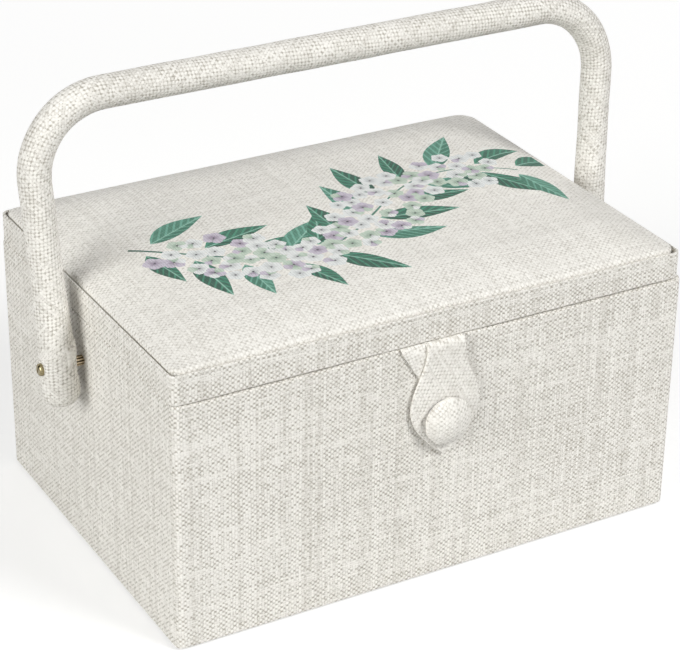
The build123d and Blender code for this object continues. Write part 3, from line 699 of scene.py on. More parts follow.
def garland():
    """Blossoms and leaves along one ogee stem across the lid."""
    draw = Random(41)
    made = Print()

    def stem(t):
        return (-98 + 196 * t, -6 + 25 * math.sin(math.tau * t + 2.6))

    def heading(t):
        a, b = stem(t - 0.01), stem(t + 0.01)
        return math.atan2(b[1] - a[1], b[0] - a[0])

    def from_stem(t, turn, reach):
        x, y = stem(t)
        return x + reach * math.cos(turn), y + reach * math.sin(turn)

    made.band(STEM, [stem(-0.02 + 1.04 * k / 40) for k in range(41)], 1.5)
    leaves = []
    for t in (k / (LEAF_PLACES - 1) for k in range(LEAF_PLACES)):
        for side in (-1, 1):
            turn = heading(t) + side * math.radians(draw.uniform(38, 62))
            if t > 0.5:
                turn = heading(t) - side * math.radians(draw.uniform(-62, -38))
            leaves.append((from_stem(t, turn, draw.uniform(5, 11)), turn, draw.uniform(30, 41)))
    for number, (root, turn, length) in enumerate(leaves):
        ink = LEAF_SOFT if number % 3 == 1 else LEAF_DEEP
        made.drop(ink, root, turn, length, length * 0.33, 10, 0.42, draw.uniform(-0.06, 0.06))
    centres = []
    for _ in range(BLOSSOM_TRIES):
        t = draw.uniform(0.04, 0.96)
        away = draw.uniform(-1, 1) * (9 + 12 * abs(math.sin(2.5 * math.pi * t)))
        x, y = from_stem(t, heading(t) + math.pi / 2, away)
        if all((x - a) ** 2 + (y - b) ** 2 > BLOSSOM_APART**2 for a, b in centres):
            centres.append((x, y))
        if len(centres) >= BLOSSOMS:
            break
    for centre in centres:
        size, start = draw.uniform(4.6, 5.9), draw.uniform(0, math.tau)
        tint = draw.choices((WHITE, LILAC, GREEN), (0.58, 0.22, 0.20))[0]
        for petal in range(5):
            ink = tint if draw.random() < 0.8 else draw.choice((WHITE, GREEN, LILAC))
            turn = start + math.tau * petal / 5 + draw.uniform(-0.12, 0.12)
            made.drop(ink, centre, turn, size, size * 0.95, 5, 0.62)
        made.disc(DOT, centre, 0.62)
    return made.shapes


# Top of the lid: the linen over its padding, and the board in it
PAD_LENGTH, PAD_DEPTH, PAD_SHIFT = 254.5, 181.05, (-0.95, -0.625)
PAD_RADII = (5.5, 9.0, 5.0, 5.0)
PAD_EDGE, PAD_RISE, PAD_ROLL, PAD_FOLD = 0.8, 6.7, 32.0, 1.5
PAD_SKIRT = [(3.0, -0.05), (1.25, -0.05), (0.95, -0.3), (0.9, -2.1), (0.5, -2.35), (0.1, -2.2), (0.0, -1.7)]
PRINT_INSET, TOP_GRID, SLOPE_STEP = 4.0, 4.2, 0.5


def crown(x, y):
    """Height over the rolled edge at a place on the lid."""
    def share(inset):
        return 1 - (1 - min(max(inset, 0), PAD_ROLL) / PAD_ROLL) ** 2

    x_in = PAD_LENGTH / 2 - abs(x - PAD_SHIFT[0])
    y_in = PAD_DEPTH / 2 - abs(y - PAD_SHIFT[1])
    rise = PAD_RISE * share(x_in) * share(y_in)
    return rise + 0.22 * gentle(x, y, 75.0, 5) * min(1.0, rise / 3)


def top_grid():
    """Places within the print's field, but for its corners."""
    half_x, half_y = PAD_LENGTH / 2 - PRINT_INSET - 2, PAD_DEPTH / 2 - PRINT_INSET - 2
    columns, rows = round(2 * half_x / TOP_GRID), round(2 * half_y / TOP_GRID)
    for row in range(rows + 1):
        for column in range(columns + 1):
            x, y = -half_x + 2 * half_x * column / columns, -half_y + 2 * half_y * row / rows
            if abs(x) <= half_x - 3 or abs(y) <= half_y - 3:
                yield x + PAD_SHIFT[0], y + PAD_SHIFT[1]


def lid_top():
    """A tucked skirt, a rolled edge, and a top whose triangles follow the outlines of the print."""
    edge_low = PAD_EDGE - PAD_FOLD
    levels = list(PAD_SKIRT)
    for angle in (math.radians(degrees) for degrees in range(0, 91, 18)):
        levels.append((PAD_FOLD * (1 - math.cos(angle)), edge_low + PAD_FOLD * math.sin(angle)))
    levels += [(2.6, PAD_EDGE), (PRINT_INSET, PAD_EDGE)]
    places = []
    for number, (inset, level) in enumerate(levels):
        on_top = smooth(level, edge_low, PAD_EDGE - 0.05) if number >= len(PAD_SKIRT) else 0.0
        for x, y, _ in np.add(rounded_ring(PAD_LENGTH, PAD_DEPTH, PAD_RADII, inset), (*PAD_SHIFT, 0)):
            places.append((x, y, SEAM + level + crown(x, y) * on_top + settle(x, y, SEAM)))
    count = len(places) // len(levels)
    last_ring, top_start = len(places) - count, len(places)
    unrolled = [0.0]
    for (inset, level), (inner, upper) in zip(levels[-2::-1], levels[:0:-1]):
        unrolled.insert(0, unrolled[0] + math.hypot(inset - inner, level - upper) - (inner - inset))
    faces, kinds, weave, shape_maps = [], [], [], []

    def weave_place(index):
        """Place on the cloth, which is unrolled outwards beyond the print's field."""
        x, y, _ = places[index]
        if index >= top_start:
            return x, y
        over_x, over_y = max(abs(x) - PAD_LENGTH / 2 + 7, 0), max(abs(y) - PAD_DEPTH / 2 + 7, 0)
        outward = Vector((math.copysign(over_x, x), math.copysign(over_y, y))).normalized()
        return tuple(Vector((x, y)) + outward * unrolled[index // count])

    def on_top_place(x, y):
        return x, y, SEAM + PAD_EDGE + crown(x, y) + settle(x, y, SEAM)

    def shape_place(index, shape):
        _, _, origin, along, length, width = shape
        dx, dy = places[index][0] - origin[0], places[index][1] - origin[1]
        return (dx * along[0] + dy * along[1]) / length, 2 * (dy * along[0] - dx * along[1]) / width

    def add_face(face, shape=None):
        faces.append(face)
        kinds.append(shape[0] if shape else CLOTH_ONLY)
        for index in face:
            weave.append(weave_place(index))
            shape_maps.append(shape_place(index, shape) if shape else (0.0, 0.0))

    for face in bands(len(levels), count) + ends(len(levels), count)[:1]:
        add_face(face)

    shapes = garland()
    edge = [(x, y) for x, y, _ in places[last_ring:]]
    outlines = [edge] + [shape[1] for shape in shapes]
    for face, owner in filled(outlines, top_grid(), last_ring, places, on_top_place, 0, 1e-3, 2):
        if 0 in owner:
            top = max(owner)
            add_face(face, shapes[top - 1] if top else None)

    piece = mesh_object("lid_top", places, faces, INKS, weave, shape_maps, kinds)
    normals = [vertex.normal.copy() for vertex in piece.data.vertices]
    for index in range(last_ring, len(places)):
        x, y, _ = places[index]
        slope_x = (crown(x + SLOPE_STEP, y) - crown(x - SLOPE_STEP, y)) / (2 * SLOPE_STEP)
        slope_y = (crown(x, y + SLOPE_STEP) - crown(x, y - SLOPE_STEP)) / (2 * SLOPE_STEP)
        normals[index] = Vector((-slope_x, -slope_y, 1)).normalized()
    piece.data.normals_split_custom_set_from_vertices(normals)
    return piece


lid_top_piece = placed(lid_top(), "lid", ["lid_top_cover", "lid_pad"])


# Handle: linen sleeve over the arch, which leans back and spreads a little
PIVOT_Z, PIVOT_X = 101.0, 141.98
LEAN, SPLAY = math.radians(4.0), math.tan(math.radians(2.5))
REACH, BEND, TUBE, END, TAPER, TAIL = 122.0, 34.0, 7.3, 8.5, 40.0, 12.5
END_DEPTH = 6.5
HEM, HEM_REACH, HEM_STEP = 9.0, 14.0, 0.7
SEAT = 7.88 - 0.5
SLEEVE_AROUND = 56


def arch_route():
    """Middle line of the handle in its own plane: (across, up, tangent across, tangent up)."""
    run = math.hypot(SPLAY, 1)
    leg = (-SPLAY / run, 1 / run)
    turn = math.acos(leg[0])
    cut = BEND * math.tan(turn / 2)
    first = (-(PIVOT_X + REACH * SPLAY) - leg[0] * cut, REACH - leg[1] * cut)
    centre = (first[0] + leg[1] * BEND, first[1] - leg[0] * BEND)
    start = (-(PIVOT_X - TAIL * SPLAY), -TAIL)
    length = math.hypot(first[0] - start[0], first[1] - start[1])
    half = []
    distance = 0.0
    while distance < length - 1.0:
        half.append((start[0] + leg[0] * distance, start[1] + leg[1] * distance, *leg))
        distance += 0.55 if distance < 36 else 3.0
    base = math.atan2(first[1] - centre[1], first[0] - centre[0])
    for angle in (base - turn * k / 24 for k in range(25)):
        cos, sin = math.cos(angle), math.sin(angle)
        half.append((centre[0] + BEND * cos, centre[1] + BEND * sin, sin, -cos))
    last = half[-1][0]
    steps = round(-last / 4.0)
    half += [(last - last * k / steps, REACH, 1.0, 0.0) for k in range(1, steps + 1)]
    return half + [(-across, up, tx, -tu) for across, up, tx, tu in half[-2::-1]]


def leaned(across, up, out):
    """A place given in the handle's plane and out of it."""
    y = up * math.sin(LEAN) - out * math.cos(LEAN)
    return across, y, PIVOT_Z + up * math.cos(LEAN) + out * math.sin(LEAN)


def leg_radius(up):
    return TUBE + (END - TUBE) * min(max((TAPER - up) / (TAPER + TAIL), 0), 1)


def lap_share(angle, along):
    """The overlap of the sleeve's seam, which runs along the inside of the arch."""
    turned = (angle + math.pi) % math.tau - math.pi
    edge = 0.32 + 0.03 * math.sin(along / 19.0)
    return smooth(turned, edge + 0.06, edge) * smooth(turned, -0.75, -0.25)


def hem_slant(angle):
    """How much higher the hem of the sleeve runs on the box's side of the leg than on the outside."""
    return 2.6 * math.cos(angle - math.radians(10)) + 0.25 * math.sin(5 * angle)


def sleeve_ring(row, radius, lift, along):
    """Points round the sleeve; lift is how far the ring is beyond the end of the route."""
    across, up, tx, tu = row
    above = up - HEM
    cap = HEM_STEP * smooth(above, 0.3, -0.15) * smooth(above, -19.0, -5.0)
    slanted = max(0.0, 1 - abs(above) / HEM_REACH) if lift == 0 else 0.0
    points = []
    for angle in (math.tau * k / SLEEVE_AROUND for k in range(SLEEVE_AROUND)):
        size = radius + 0.16 * gentle(along, angle * 8, 26.0, 9) + 0.38 * lap_share(angle, along) + cap
        inward = size * math.cos(angle)
        here = (across + tu * inward - tx * lift, up - tx * inward + hem_slant(angle) * slanted - tu * lift)
        points.append(leaned(*here, size * math.sin(angle)))
    return points


def flatten_seats(rings):
    """Presses the sleeve flat under the screw heads and the bushes."""
    for point in rings.reshape(-1, 3):
        reach = abs(point[0]) - PIVOT_X
        away = math.hypot(point[1], point[2] - PIVOT_Z)
        if away < 7.0:
            wanted = min(max(reach, -SEAT), SEAT)
            pressed = PIVOT_X + reach + (wanted - reach) * smooth(away, 7.0, 3.6)
            point[0] = math.copysign(pressed, point[0])


def close_ends(piece, rings):
    """Closes the two ends of the sleeve with fans."""
    mesh = bmesh.new()
    mesh.from_mesh(piece.data)
    vertices = list(mesh.verts)
    weave = mesh.loops.layers.uv["weave"]
    for start in (0, (rings - 1) * SLEEVE_AROUND):
        loop = vertices[start:start + SLEEVE_AROUND]
        middle = sum((vertex.co for vertex in loop), Vector()) / SLEEVE_AROUND
        normal = (loop[0].co - middle).cross(loop[SLEEVE_AROUND // 4].co - middle).normalized()
        if normal.dot(middle - Vector((middle.x, middle.y, PIVOT_Z * MM))) < 0:
            normal = -normal
        pole = mesh.verts.new(middle + normal * 0.12 * MM)
        for vertex, after in zip(loop, loop[1:] + loop[:1]):
            face = mesh.faces.new((pole, vertex, after))
            face.smooth = True
            for corner in face.loops:
                corner[weave].uv = corner.vert.co.xy
    face_out(mesh, piece.data)


def turn_weave(piece, angle):
    """Turns the weave on the piece, as for cloth cut on the bias."""
    layer = piece.data.uv_layers["weave"]
    spots = np.empty(2 * len(layer.data), np.float32)
    layer.data.foreach_get("uv", spots)
    cos, sin = math.cos(angle), math.sin(angle)
    turned = spots.reshape(-1, 2) @ np.array([[cos, sin], [-sin, cos]])
    layer.data.foreach_set("uv", turned.astype(np.float32).ravel())


def sleeve(name, material):
    """Linen drawn over the arch, with a blunt cap at each end."""
    route = arch_route()
    angles = [math.radians(90 * (1 - k / 9)) for k in range(1, 9)]
    blunt = [(math.cos(angle) ** 0.7 * END, math.sin(angle) * END_DEPTH) for angle in angles]
    rows = [(route[0], radius, depth) for radius, depth in blunt]
    rows += [(row, leg_radius(row[1]), 0.0) for row in route]
    rows += [(route[-1], radius, -depth) for radius, depth in blunt[::-1]]
    middles = [(row[0] - row[2] * lift, row[1] - row[3] * lift, 0) for row, _, lift in rows]
    runs = run_lengths(middles)
    rings = np.array([sleeve_ring(*row, run) for row, run in zip(rows, runs)])
    flatten_seats(rings)
    u = [math.tau * TUBE * k / SLEEVE_AROUND for k in range(SLEEVE_AROUND + 1)]
    piece = skin(name, rings, u, runs, material, closed=False)
    close_ends(piece, len(rings))
    turn_weave(piece, math.radians(45))
    return piece


placed(sleeve("handle_sleeve", LINEN_HANDLE), "handle", ["handle_cover"])

BUSH_ROWS = ((129.75, 1.9), (129.9, 2.25), (130.3, 2.45), (134.1, 2.45), (134.45, 2.25), (134.6, 1.9))
BUSH_AROUND, BUSH_RIB, BUSH_RIBS = 100, 0.7, 10


def ribbed_bushes(name, material):
    """The two spacers between the walls and the handle's ends, ribbed along their length."""
    places, faces = [], []
    for side in (-1, 1):
        start = len(places)
        faces += bands(len(BUSH_ROWS), BUSH_AROUND, start=start) + ends(len(BUSH_ROWS), BUSH_AROUND, start)
        for x, radius in BUSH_ROWS:
            depth = 0.0 if (x, radius) in (BUSH_ROWS[0], BUSH_ROWS[-1]) else BUSH_RIB
            for angle in (math.tau * k / BUSH_AROUND for k in range(BUSH_AROUND)):
                r = radius - depth * (1 - abs(math.cos(BUSH_RIBS * angle / 2)) ** 0.7)
                places.append((side * x, r * math.cos(angle), PIVOT_Z + r * math.sin(angle)))
    return mesh_object(name, places, faces, [material], outwards=True)


TUCK_COLUMNS, TUCK_ROWS = 10, 8


def border(columns, rows):
    """The outer places of a grid, in turn."""
    around = [(i, 0) for i in range(columns)] + [(columns, j) for j in range(rows)]
    return around + [(i, rows) for i in range(columns, 0, -1)] + [(0, j) for j in range(rows, 0, -1)]


def pad_of_grids(columns, rows, place):
    """Places and faces of two grids joined at their borders; place(layer, a, b) has a and b from -1 to 1."""
    places, numbers, faces = [], {}, []
    for layer in (0, 1):
        for i in range(columns + 1):
            for j in range(rows + 1):
                numbers[layer, i, j] = len(places)
                places.append(place(layer, 2 * i / columns - 1, 2 * j / rows - 1))
    for i in range(columns):
        for j in range(rows):
            quad = [(i, j), (i + 1, j), (i + 1, j + 1), (i, j + 1)]
            faces.append([numbers[(0, *spot)] for spot in quad])
            faces.append([numbers[(1, *spot)] for spot in quad[::-1]])
    around = border(columns, rows)
    for spot, after in zip(around, around[1:] + around[:1]):
        faces.append([numbers[(0, *after)], numbers[(0, *spot)], numbers[(1, *spot)], numbers[(1, *after)]])
    return places, faces


def hem_tucks(name, material):
    """A tuck of the cap's cloth on the box's side of each leg, flat and smooth."""
    places, faces = [], []
    for side in (-1, 1):
        def place(layer, a, b):
            angle = math.radians(52 + 30 * a)
            swell = -0.6 if layer else 0.95 * (1 - max(abs(a), abs(b)) ** 4) - 0.35
            up = HEM - 3.4 + 4.2 * b + 2.0 * math.cos(angle - 0.2) - 1.2 * a
            radius = leg_radius(up) + HEM_STEP + swell
            x, y, z = leaned(PIVOT_X + SPLAY * up - radius * math.cos(angle), up, radius * math.sin(angle))
            return side * x, y, z

        more, joined = pad_of_grids(TUCK_COLUMNS, TUCK_ROWS, place)
        faces += [[len(places) + i for i in face] for face in joined]
        places += more
    weave = [places[i][1:] for face in faces for i in face]
    return mesh_object(name, places, faces, [material], weave, outwards=True)


placed(hem_tucks("tucks_at_the_hems", LINEN_TAB), "handle")


# Flat cloth pieces with rounded edges, upright in front of the box
def add_run(points, target, step):
    """Points between the last one and the target, both left out."""
    start = points[-1]
    steps = max(1, round((target - start).length / step))
    points += [start + (target - start) * k / steps for k in range(1, steps)]


def rounded_outline(corners, radius, step=1.2):
    """Outline of (x, z) corners, all rounded by one radius, with points about a step apart."""
    corners = [Vector(corner) for corner in corners]
    points = []
    for before, corner, after in zip(corners[-1:] + corners, corners, corners[1:] + corners[:1]):
        to_before, to_after = (before - corner).normalized(), (after - corner).normalized()
        half = to_before.angle(to_after) / 2
        cut = radius / math.tan(half)
        centre = corner + (to_before + to_after).normalized() * radius / math.sin(half)
        first, second = corner + to_before * cut - centre, corner + to_after * cut - centre
        sweep = math.copysign(first.angle(second), first.x * second.y - first.y * second.x)
        steps = max(3, round(radius * abs(sweep) / step))
        arc = [centre + Matrix.Rotation(sweep * s / steps, 2) @ first for s in range(steps + 1)]
        if points:
            add_run(points, arc[0], step)
        points += arc
    add_run(points, points[0], step)
    return [tuple(p) for p in points]


def inset_outline(outline, inset):
    """Each point moved inwards along the mean of its two edges' normals."""
    moved = []
    for before, here, after in zip(outline[-1:] + outline, outline, outline[1:] + outline[:1]):
        a, b = Vector(here) - Vector(before), Vector(after) - Vector(here)
        normal = (Vector((-a.y, a.x)).normalized() + Vector((-b.y, b.x)).normalized()).normalized()
        moved.append((here[0] + normal.x * inset, here[1] + normal.y * inset))
    return moved


def inside(x, z, outline):
    """Whether a point is within an outline."""
    hit = False
    for (ax, az), (bx, bz) in zip(outline, outline[1:] + outline[:1]):
        if (az > z) != (bz > z) and x < (bx - ax) * (z - az) / (bz - az) + ax:
            hit = not hit
    return hit


# Closing strap and button
CLOSURE_X, BUTTON_Z = 1.5, 83.5
STRAP_TOP, STRAP_FACE, STRAP_SPLIT, STRAP_BACK = 122.0, -95.9, -94.5, -93.3
FOLD_START, FOLD_END, FOLD_DEPTH = 119.8, 122.28, 92.0
FOLD_THIN, FOLD_PRESSED, FORM_AT_BACK = 0.66, 0.09, 0.4
TAB_EDGE = [(0.9, 1.0), (0.35, 0.97), (0.08, 0.75), (0.0, 0.5), (0.08, 0.25), (0.3, 0.07), (0.8, 0.0)]


def strap_form(x, z):
    """Close to the wall at the left edge and point, creased below the button and nicked beside it."""
    from_left = (x - (CLOSURE_X - 18.3)) / 36.6
    press = 0.5 * max((1 - smooth(from_left, 0.0, 0.30)) * smooth(z, 116.0, 96.0), 1 - smooth(z, 64.0, 76.0))
    crease = 1.2 * math.exp(-(((x - 3.5) / 0.6) ** 2)) * smooth(z, 74.5, 71.0)
    nick = 1.2 * math.exp(-(((x + 9.6) / 0.9) ** 2) - ((z - 84.3) / 1.3) ** 2)
    return press + crease + nick + 0.25 * gentle(x, z, 22.0, 3) * smooth(z, 121.0, 114.0)


def folded(y, z):
    """Curls the top of the strap back into the gap under the lid, where it is pressed thin."""
    if z <= FOLD_START:
        return y, z
    t = min((z - FOLD_START) / (STRAP_TOP - FOLD_START), 1.0)
    cos, sin = math.cos(t * math.pi / 2), math.sin(t * math.pi / 2)
    front = -FOLD_DEPTH + (STRAP_FACE + FOLD_DEPTH) * cos
    height = FOLD_START + (FOLD_END - FOLD_START) * sin
    behind = y - STRAP_FACE
    return front + behind * cos * (1 - FOLD_THIN * t), height - behind * sin * FOLD_PRESSED


def tab(name, outline, back, front, form, grid, turn):
    """Cloth tab between two Y faces; form(x, z) moves it out of its plane, the back less than the front."""
    if signed_area(outline) < 0:
        outline = outline[::-1]
    count = len(outline)

    def place(x, z, share):
        moved = form(x, z) * (1 - (1 - FORM_AT_BACK) * share)
        return x, *folded(front + (back - front) * share + moved, z)

    places = [place(x, z, share) for inset, share in TAB_EDGE for x, z in inset_outline(outline, inset)]
    faces = bands(len(TAB_EDGE), count)
    for ring in (0, len(TAB_EDGE) - 1):
        inset, share = TAB_EDGE[ring]
        inner, region = inset_outline(outline, inset), inset_outline(outline, inset + grid * 0.6)
        (low_x, low_z), (high_x, high_z) = np.min(inner, 0), np.max(inner, 0)
        spots = [(x, z) for x in np.arange(low_x, high_x, grid) for z in np.arange(low_z, high_z, grid)]
        spots = [spot for spot in spots if inside(*spot, region)]
        on_face = partial(place, share=share)
        faces += [face for face, _ in filled([inner], spots, ring * count, places, on_face, 1, 1e-5, 3)]
    cos, sin = math.cos(turn), math.sin(turn)
    corners = [places[i] for face in faces for i in face]
    weave = [(x * cos + z * sin, z * cos - x * sin) for x, _, z in corners]
    return mesh_object(name, places, faces, [LINEN_TAB], weave, outwards=True)


# The front layer's outline in the photograph, from its top left round the point to its top right
STRAP_EDGE = [
    (-8.7, 122.0), (-8.3, 118.5), (-9.3, 112.7), (-12.0, 105.5), (-14.5, 99.2), (-15.9, 92.5), (-15.4, 86.3),
    (-12.4, 79.6), (-5.4, 71.2), (-0.2, 66.6), (2.6, 64.9), (5.6, 66.7), (11.4, 72.6), (16.6, 80.0),
    (18.8, 86.6), (18.9, 92.6), (17.4, 98.6), (14.6, 105.2), (12.2, 112.0), (11.2, 118.5), (11.4, 122.0),
]
BACK_LEFT, BACK_WIDE, BACK_HIGH, BACK_SLANT = CLOSURE_X - 23.1, 22.8, 28.6, 0.62


def through(points, steps=4):
    """Smooth open curve through points, with that many steps from one to the next."""
    rows = np.array([points[0], *points, points[-1]])
    made = []
    for p, q, r, s in zip(rows, rows[1:], rows[2:], rows[3:]):
        square, cube = 2 * p - 5 * q + 4 * r - s, 3 * q - p - 3 * r + s
        for t in (k / steps for k in range(steps)):
            made.append(tuple(0.5 * (2 * q + (r - p) * t + square * t * t + cube * t**3)))
    return made + [points[-1]]


def strap_layers():
    """The front layer, and the back layer that slants out at its upper left."""
    (left, _), (right, _) = STRAP_EDGE[0], STRAP_EDGE[-1]
    steps = round((right - left) / 1.2)
    top = [(right + (left - right) * k / steps, STRAP_TOP) for k in range(1, steps)]
    front = tab(
        "strap_front_layer", through(STRAP_EDGE) + top, STRAP_SPLIT + 0.25, STRAP_FACE, strap_form, 0.9, 0.5,
    )
    low, shift = STRAP_TOP - BACK_HIGH, BACK_SLANT * BACK_HIGH
    corners = [(BACK_LEFT, STRAP_TOP), (BACK_LEFT + BACK_WIDE, STRAP_TOP)]
    corners += [(BACK_LEFT + BACK_WIDE + shift, low), (BACK_LEFT + shift, low)]
    outline = rounded_outline(corners, 0.8)
    back = tab("strap_back_layer", outline, STRAP_BACK, STRAP_SPLIT + 0.3, lambda x, z: 0.0, 2.0, -0.5)
    return placed(front, None, ["strap_front"]), placed(back, None, ["strap_back"])


for layer in strap_layers():
    start, end = (0, -(FOLD_DEPTH + 0.3) * MM, FOLD_END * MM), (0, STRAP_FACE * MM, (FOLD_START - 1.0) * MM)
    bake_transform(layer)
    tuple(start)
    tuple(end)


BUTTON_RADIUS, BUTTON_HEIGHT, BUTTON_EDGE = 11.4, 6.4, 2.1
BUTTON_AROUND, BUTTON_ROWS, BUTTON_SPREAD = 72, 14, math.radians(84)
WEAVE_STRETCH = 1.02


def covered_button(name, material):
    """Domed disc with the linen gathered at its rim."""
    back = STRAP_FACE - 1.0
    rise = BUTTON_HEIGHT - BUTTON_EDGE
    dome = (BUTTON_RADIUS**2 + rise**2) / (2 * rise)
    rows = []
    for k in range(1, BUTTON_ROWS + 1):
        r = BUTTON_RADIUS * math.sin(BUTTON_SPREAD * k / BUTTON_ROWS) / math.sin(BUTTON_SPREAD)
        rows.append((r, BUTTON_HEIGHT - dome + math.sqrt(dome**2 - r**2)))
    rows += [(BUTTON_RADIUS + 0.05, BUTTON_EDGE * 0.7), (BUTTON_RADIUS - 0.1, BUTTON_EDGE * 0.3)]
    rows += [(BUTTON_RADIUS - 0.6, 0.0), (BUTTON_RADIUS - 3, 0.05)]
    places = [(CLOSURE_X, back - BUTTON_HEIGHT, BUTTON_Z)]
    for r, level in rows:
        for angle in (math.tau * k / BUTTON_AROUND for k in range(BUTTON_AROUND)):
            x, z = r * math.cos(angle), r * math.sin(angle)
            gather = 1 + 0.012 * math.sin(9 * angle + 1) * smooth(r, 8.5, 11.8)
            y = back - level - 0.12 * gentle(x, z, 9.0, 8)
            places.append((CLOSURE_X + x * gather, y, BUTTON_Z + z * gather))
    faces = [(0, 1 + k, 1 + (k + 1) % BUTTON_AROUND) for k in range(BUTTON_AROUND)]
    faces += bands(len(rows), BUTTON_AROUND, start=1) + ends(len(rows), BUTTON_AROUND, 1)[1:]
    weave = [(places[i][0] * WEAVE_STRETCH, places[i][2] * WEAVE_STRETCH) for face in faces for i in face]
    return mesh_object(name, places, faces, [material], weave, outwards=True)


placed(covered_button("button_linen", LINEN_TAB), "strap", ["button_cover"])


# Materials of the metal, the board and the inside
BRASS = metal("brass", (0.56, 0.45, 0.27), (0.33, 0.26, 0.15), 0.30)
ANTIQUE = metal("antique_brass", (0.34, 0.29, 0.17), (0.17, 0.14, 0.075), 0.27)
BRONZE = metal("bronze_bush", (0.74, 0.62, 0.46), (0.60, 0.49, 0.33), 0.22, ribs=BUSH_RIBS)
STEEL = metal("plated_steel", (0.40, 0.40, 0.42), (0.28, 0.28, 0.30), 0.40)
SHEET_METAL = metal("pressed_metal", (0.72, 0.72, 0.73), (0.55, 0.55, 0.57), 0.38)
BOARD = board("fibre_board", (0.60, 0.50, 0.38), (0.42, 0.33, 0.24))
CORE = moulded("handle_plastic", (0.70, 0.66, 0.58), (0.62, 0.58, 0.50), 0.5)
CLEAR = moulded(
    "clear_plastic", (0.93, 0.95, 0.95), (0.89, 0.92, 0.93), 0.14, Transmission_Weight=0.92, IOR=1.46,
)
LINING = cotton("lining_cotton", (0.66, 0.76, 0.69), (0.56, 0.67, 0.60))
PAPER = cotton("base_cloth", (0.72, 0.70, 0.65), (0.63, 0.61, 0.56), pitch=0.7 * MM)
CUSHION = linen("linen_pincushion", 0.6, 0.4, 0.32 * MM, pitch=1.2 * MM)

placed(ribbed_bushes("bushes_of_the_handle", BRONZE), "bushes", ["pivot_bushes"])


# Covered boards of the lining, the lid's board and the cloth base
SLAB_INSETS = (3.0, 6.0, 10.0, 16.0, 24.0, 34.0, 46.0, 60.0, 80.0)
SLAB_MATERIALS = {"lining_cotton": LINING, "board": BOARD, "base_paper": PAPER, "linen": LINEN_TAB}


def slab(name, slot, body, node, size, thick, radius, edge, puff, seed, placing):
    """Board under cloth: rounded edges and a face that stands up a little towards its middle.

    placing turns (along, up, out) into a place, with out from 0 at its back to thick at its face."""
    inner = min(size) / 2 - 0.6
    profile = [(inner, 0.0), (inner * 0.5, 0.0), (edge * 1.5, 0.0)]
    if thick > 2 * edge:
        profile += arc_profile(edge, edge, edge, 270, 180, 3)
        profile += arc_profile(edge, thick - edge, edge, 180, 90, 3)
    else:
        bevel = 0.2 * edge
        profile += [(edge, 0.0), (bevel, bevel), (0.0, thick / 2), (bevel, thick - bevel), (edge, thick)]
    profile += [(inset, thick) for inset in (edge * 1.5, *SLAB_INSETS) if edge * 1.4 < inset < inner - 3]
    profile.append((inner, thick))
    places = []
    for row, (inset, level) in enumerate(profile):
        rise = puff * min(1.0, inset / 9.0) if row > len(profile) // 3 else 0.0
        for x, y, _ in rounded_ring(*size, radius, inset):
            places.append(placing(x, y, level + rise * (1 + 0.5 * gentle(x, y, 60.0, seed))))
    around = len(places) // len(profile)
    faces = bands(len(profile), around) + ends(len(profile), around)
    piece = mesh_object(name, places, faces, [SLAB_MATERIALS[slot]], outwards=True)
    return placed(piece, body, [node])


FLOOR_TOP = 5.8
WALL_LOW, WALL_HIGH = 8.4, 84.0
WALL_LINING, LINING_X, LINING_Y = 3.1, 123.3, 86.3
LID_BOARD = 133.1
MIDDLE = (WALL_LOW + WALL_HIGH) / 2
WALLS = {
    "front": (246.3, lambda a, b, c: (a, -LINING_Y + c, MIDDLE + b)),
    "back": (246.3, lambda a, b, c: (a, LINING_Y - c, MIDDLE + b)),
    "left": (166.1, lambda a, b, c: (-LINING_X + c, a, MIDDLE + b)),
    "right": (166.1, lambda a, b, c: (LINING_X - c, a, MIDDLE + b)),
}

slab(
    "lining_of_the_floor", "lining_cotton", "box", "floor_lining", (248.2, 174.2), 2.5, 0.8, 0.7, 0.0, 51,
    lambda a, b, c: (a, b, FLOOR_TOP + c),
)
for number, (side, (length, placing)) in enumerate(WALLS.items()):
    slab(
        f"lining_of_the_{side}_wall", "lining_cotton", "box", f"{side}_lining",
        (length, WALL_HIGH - WALL_LOW), WALL_LINING, 0.8, 1.0, -0.35, 52 + number, placing,
    )
slab(
    "board_of_the_lid", "board", "lid", "lid_board", (PAD_LENGTH - 2.2, PAD_DEPTH - 2.2),
    SEAM - 0.1 - LID_BOARD, 4.0, 0.4, 0.0, 60,
    lambda a, b, c: (a + PAD_SHIFT[0], b + PAD_SHIFT[1], LID_BOARD + c + settle(a, b, SEAM) * c / 4.0),
)
slab(
    "lining_of_the_lid", "lining_cotton", "lid", "lid_lining", (244.1, 170.1), 2.0, 2.5, 0.8, 0.0, 57,
    lambda a, b, c: (a, b, LID_BOARD - c),
)
slab(
    "cloth_of_the_base", "base_paper", "box", "base_cover", (256.0, 182.0), 1.0, 3.5, 0.4, 0.0, 58,
    lambda a, b, c: (a, b, BASE - c),
)
slab(
    "strap_ends_under_the_lid", "linen", "lid", "strap_anchor", (33.9, 6.0), 0.22, 0.6, 0.1, 0.0, 59,
    lambda a, b, c: (a - 5.25, b - 88.4, LID_BOTTOM - 0.01 - c),
)


# Pincushion, blown up as cloth
CUSHION_AT = (-62.0, 0.0, 131.0)
CUSHION_SIZE = (79.0, 51.0)
CUSHION_DEEP, CUSHION_MARGIN = 9.0, 0.3
CUSHION_VOXEL, CUSHION_HELD, CUSHION_REACH, CUSHION_FRAMES = 0.0026, 0.0011, 0.004, 20
CUSHION_CLOTH = {
    "quality": 6, "mass": 0.15, "tension_stiffness": 12, "compression_stiffness": 12, "shear_stiffness": 6,
    "bending_stiffness": 0.3, "use_pressure": True, "uniform_pressure_force": 4.0,
    "vertex_group_mass": "held",
}


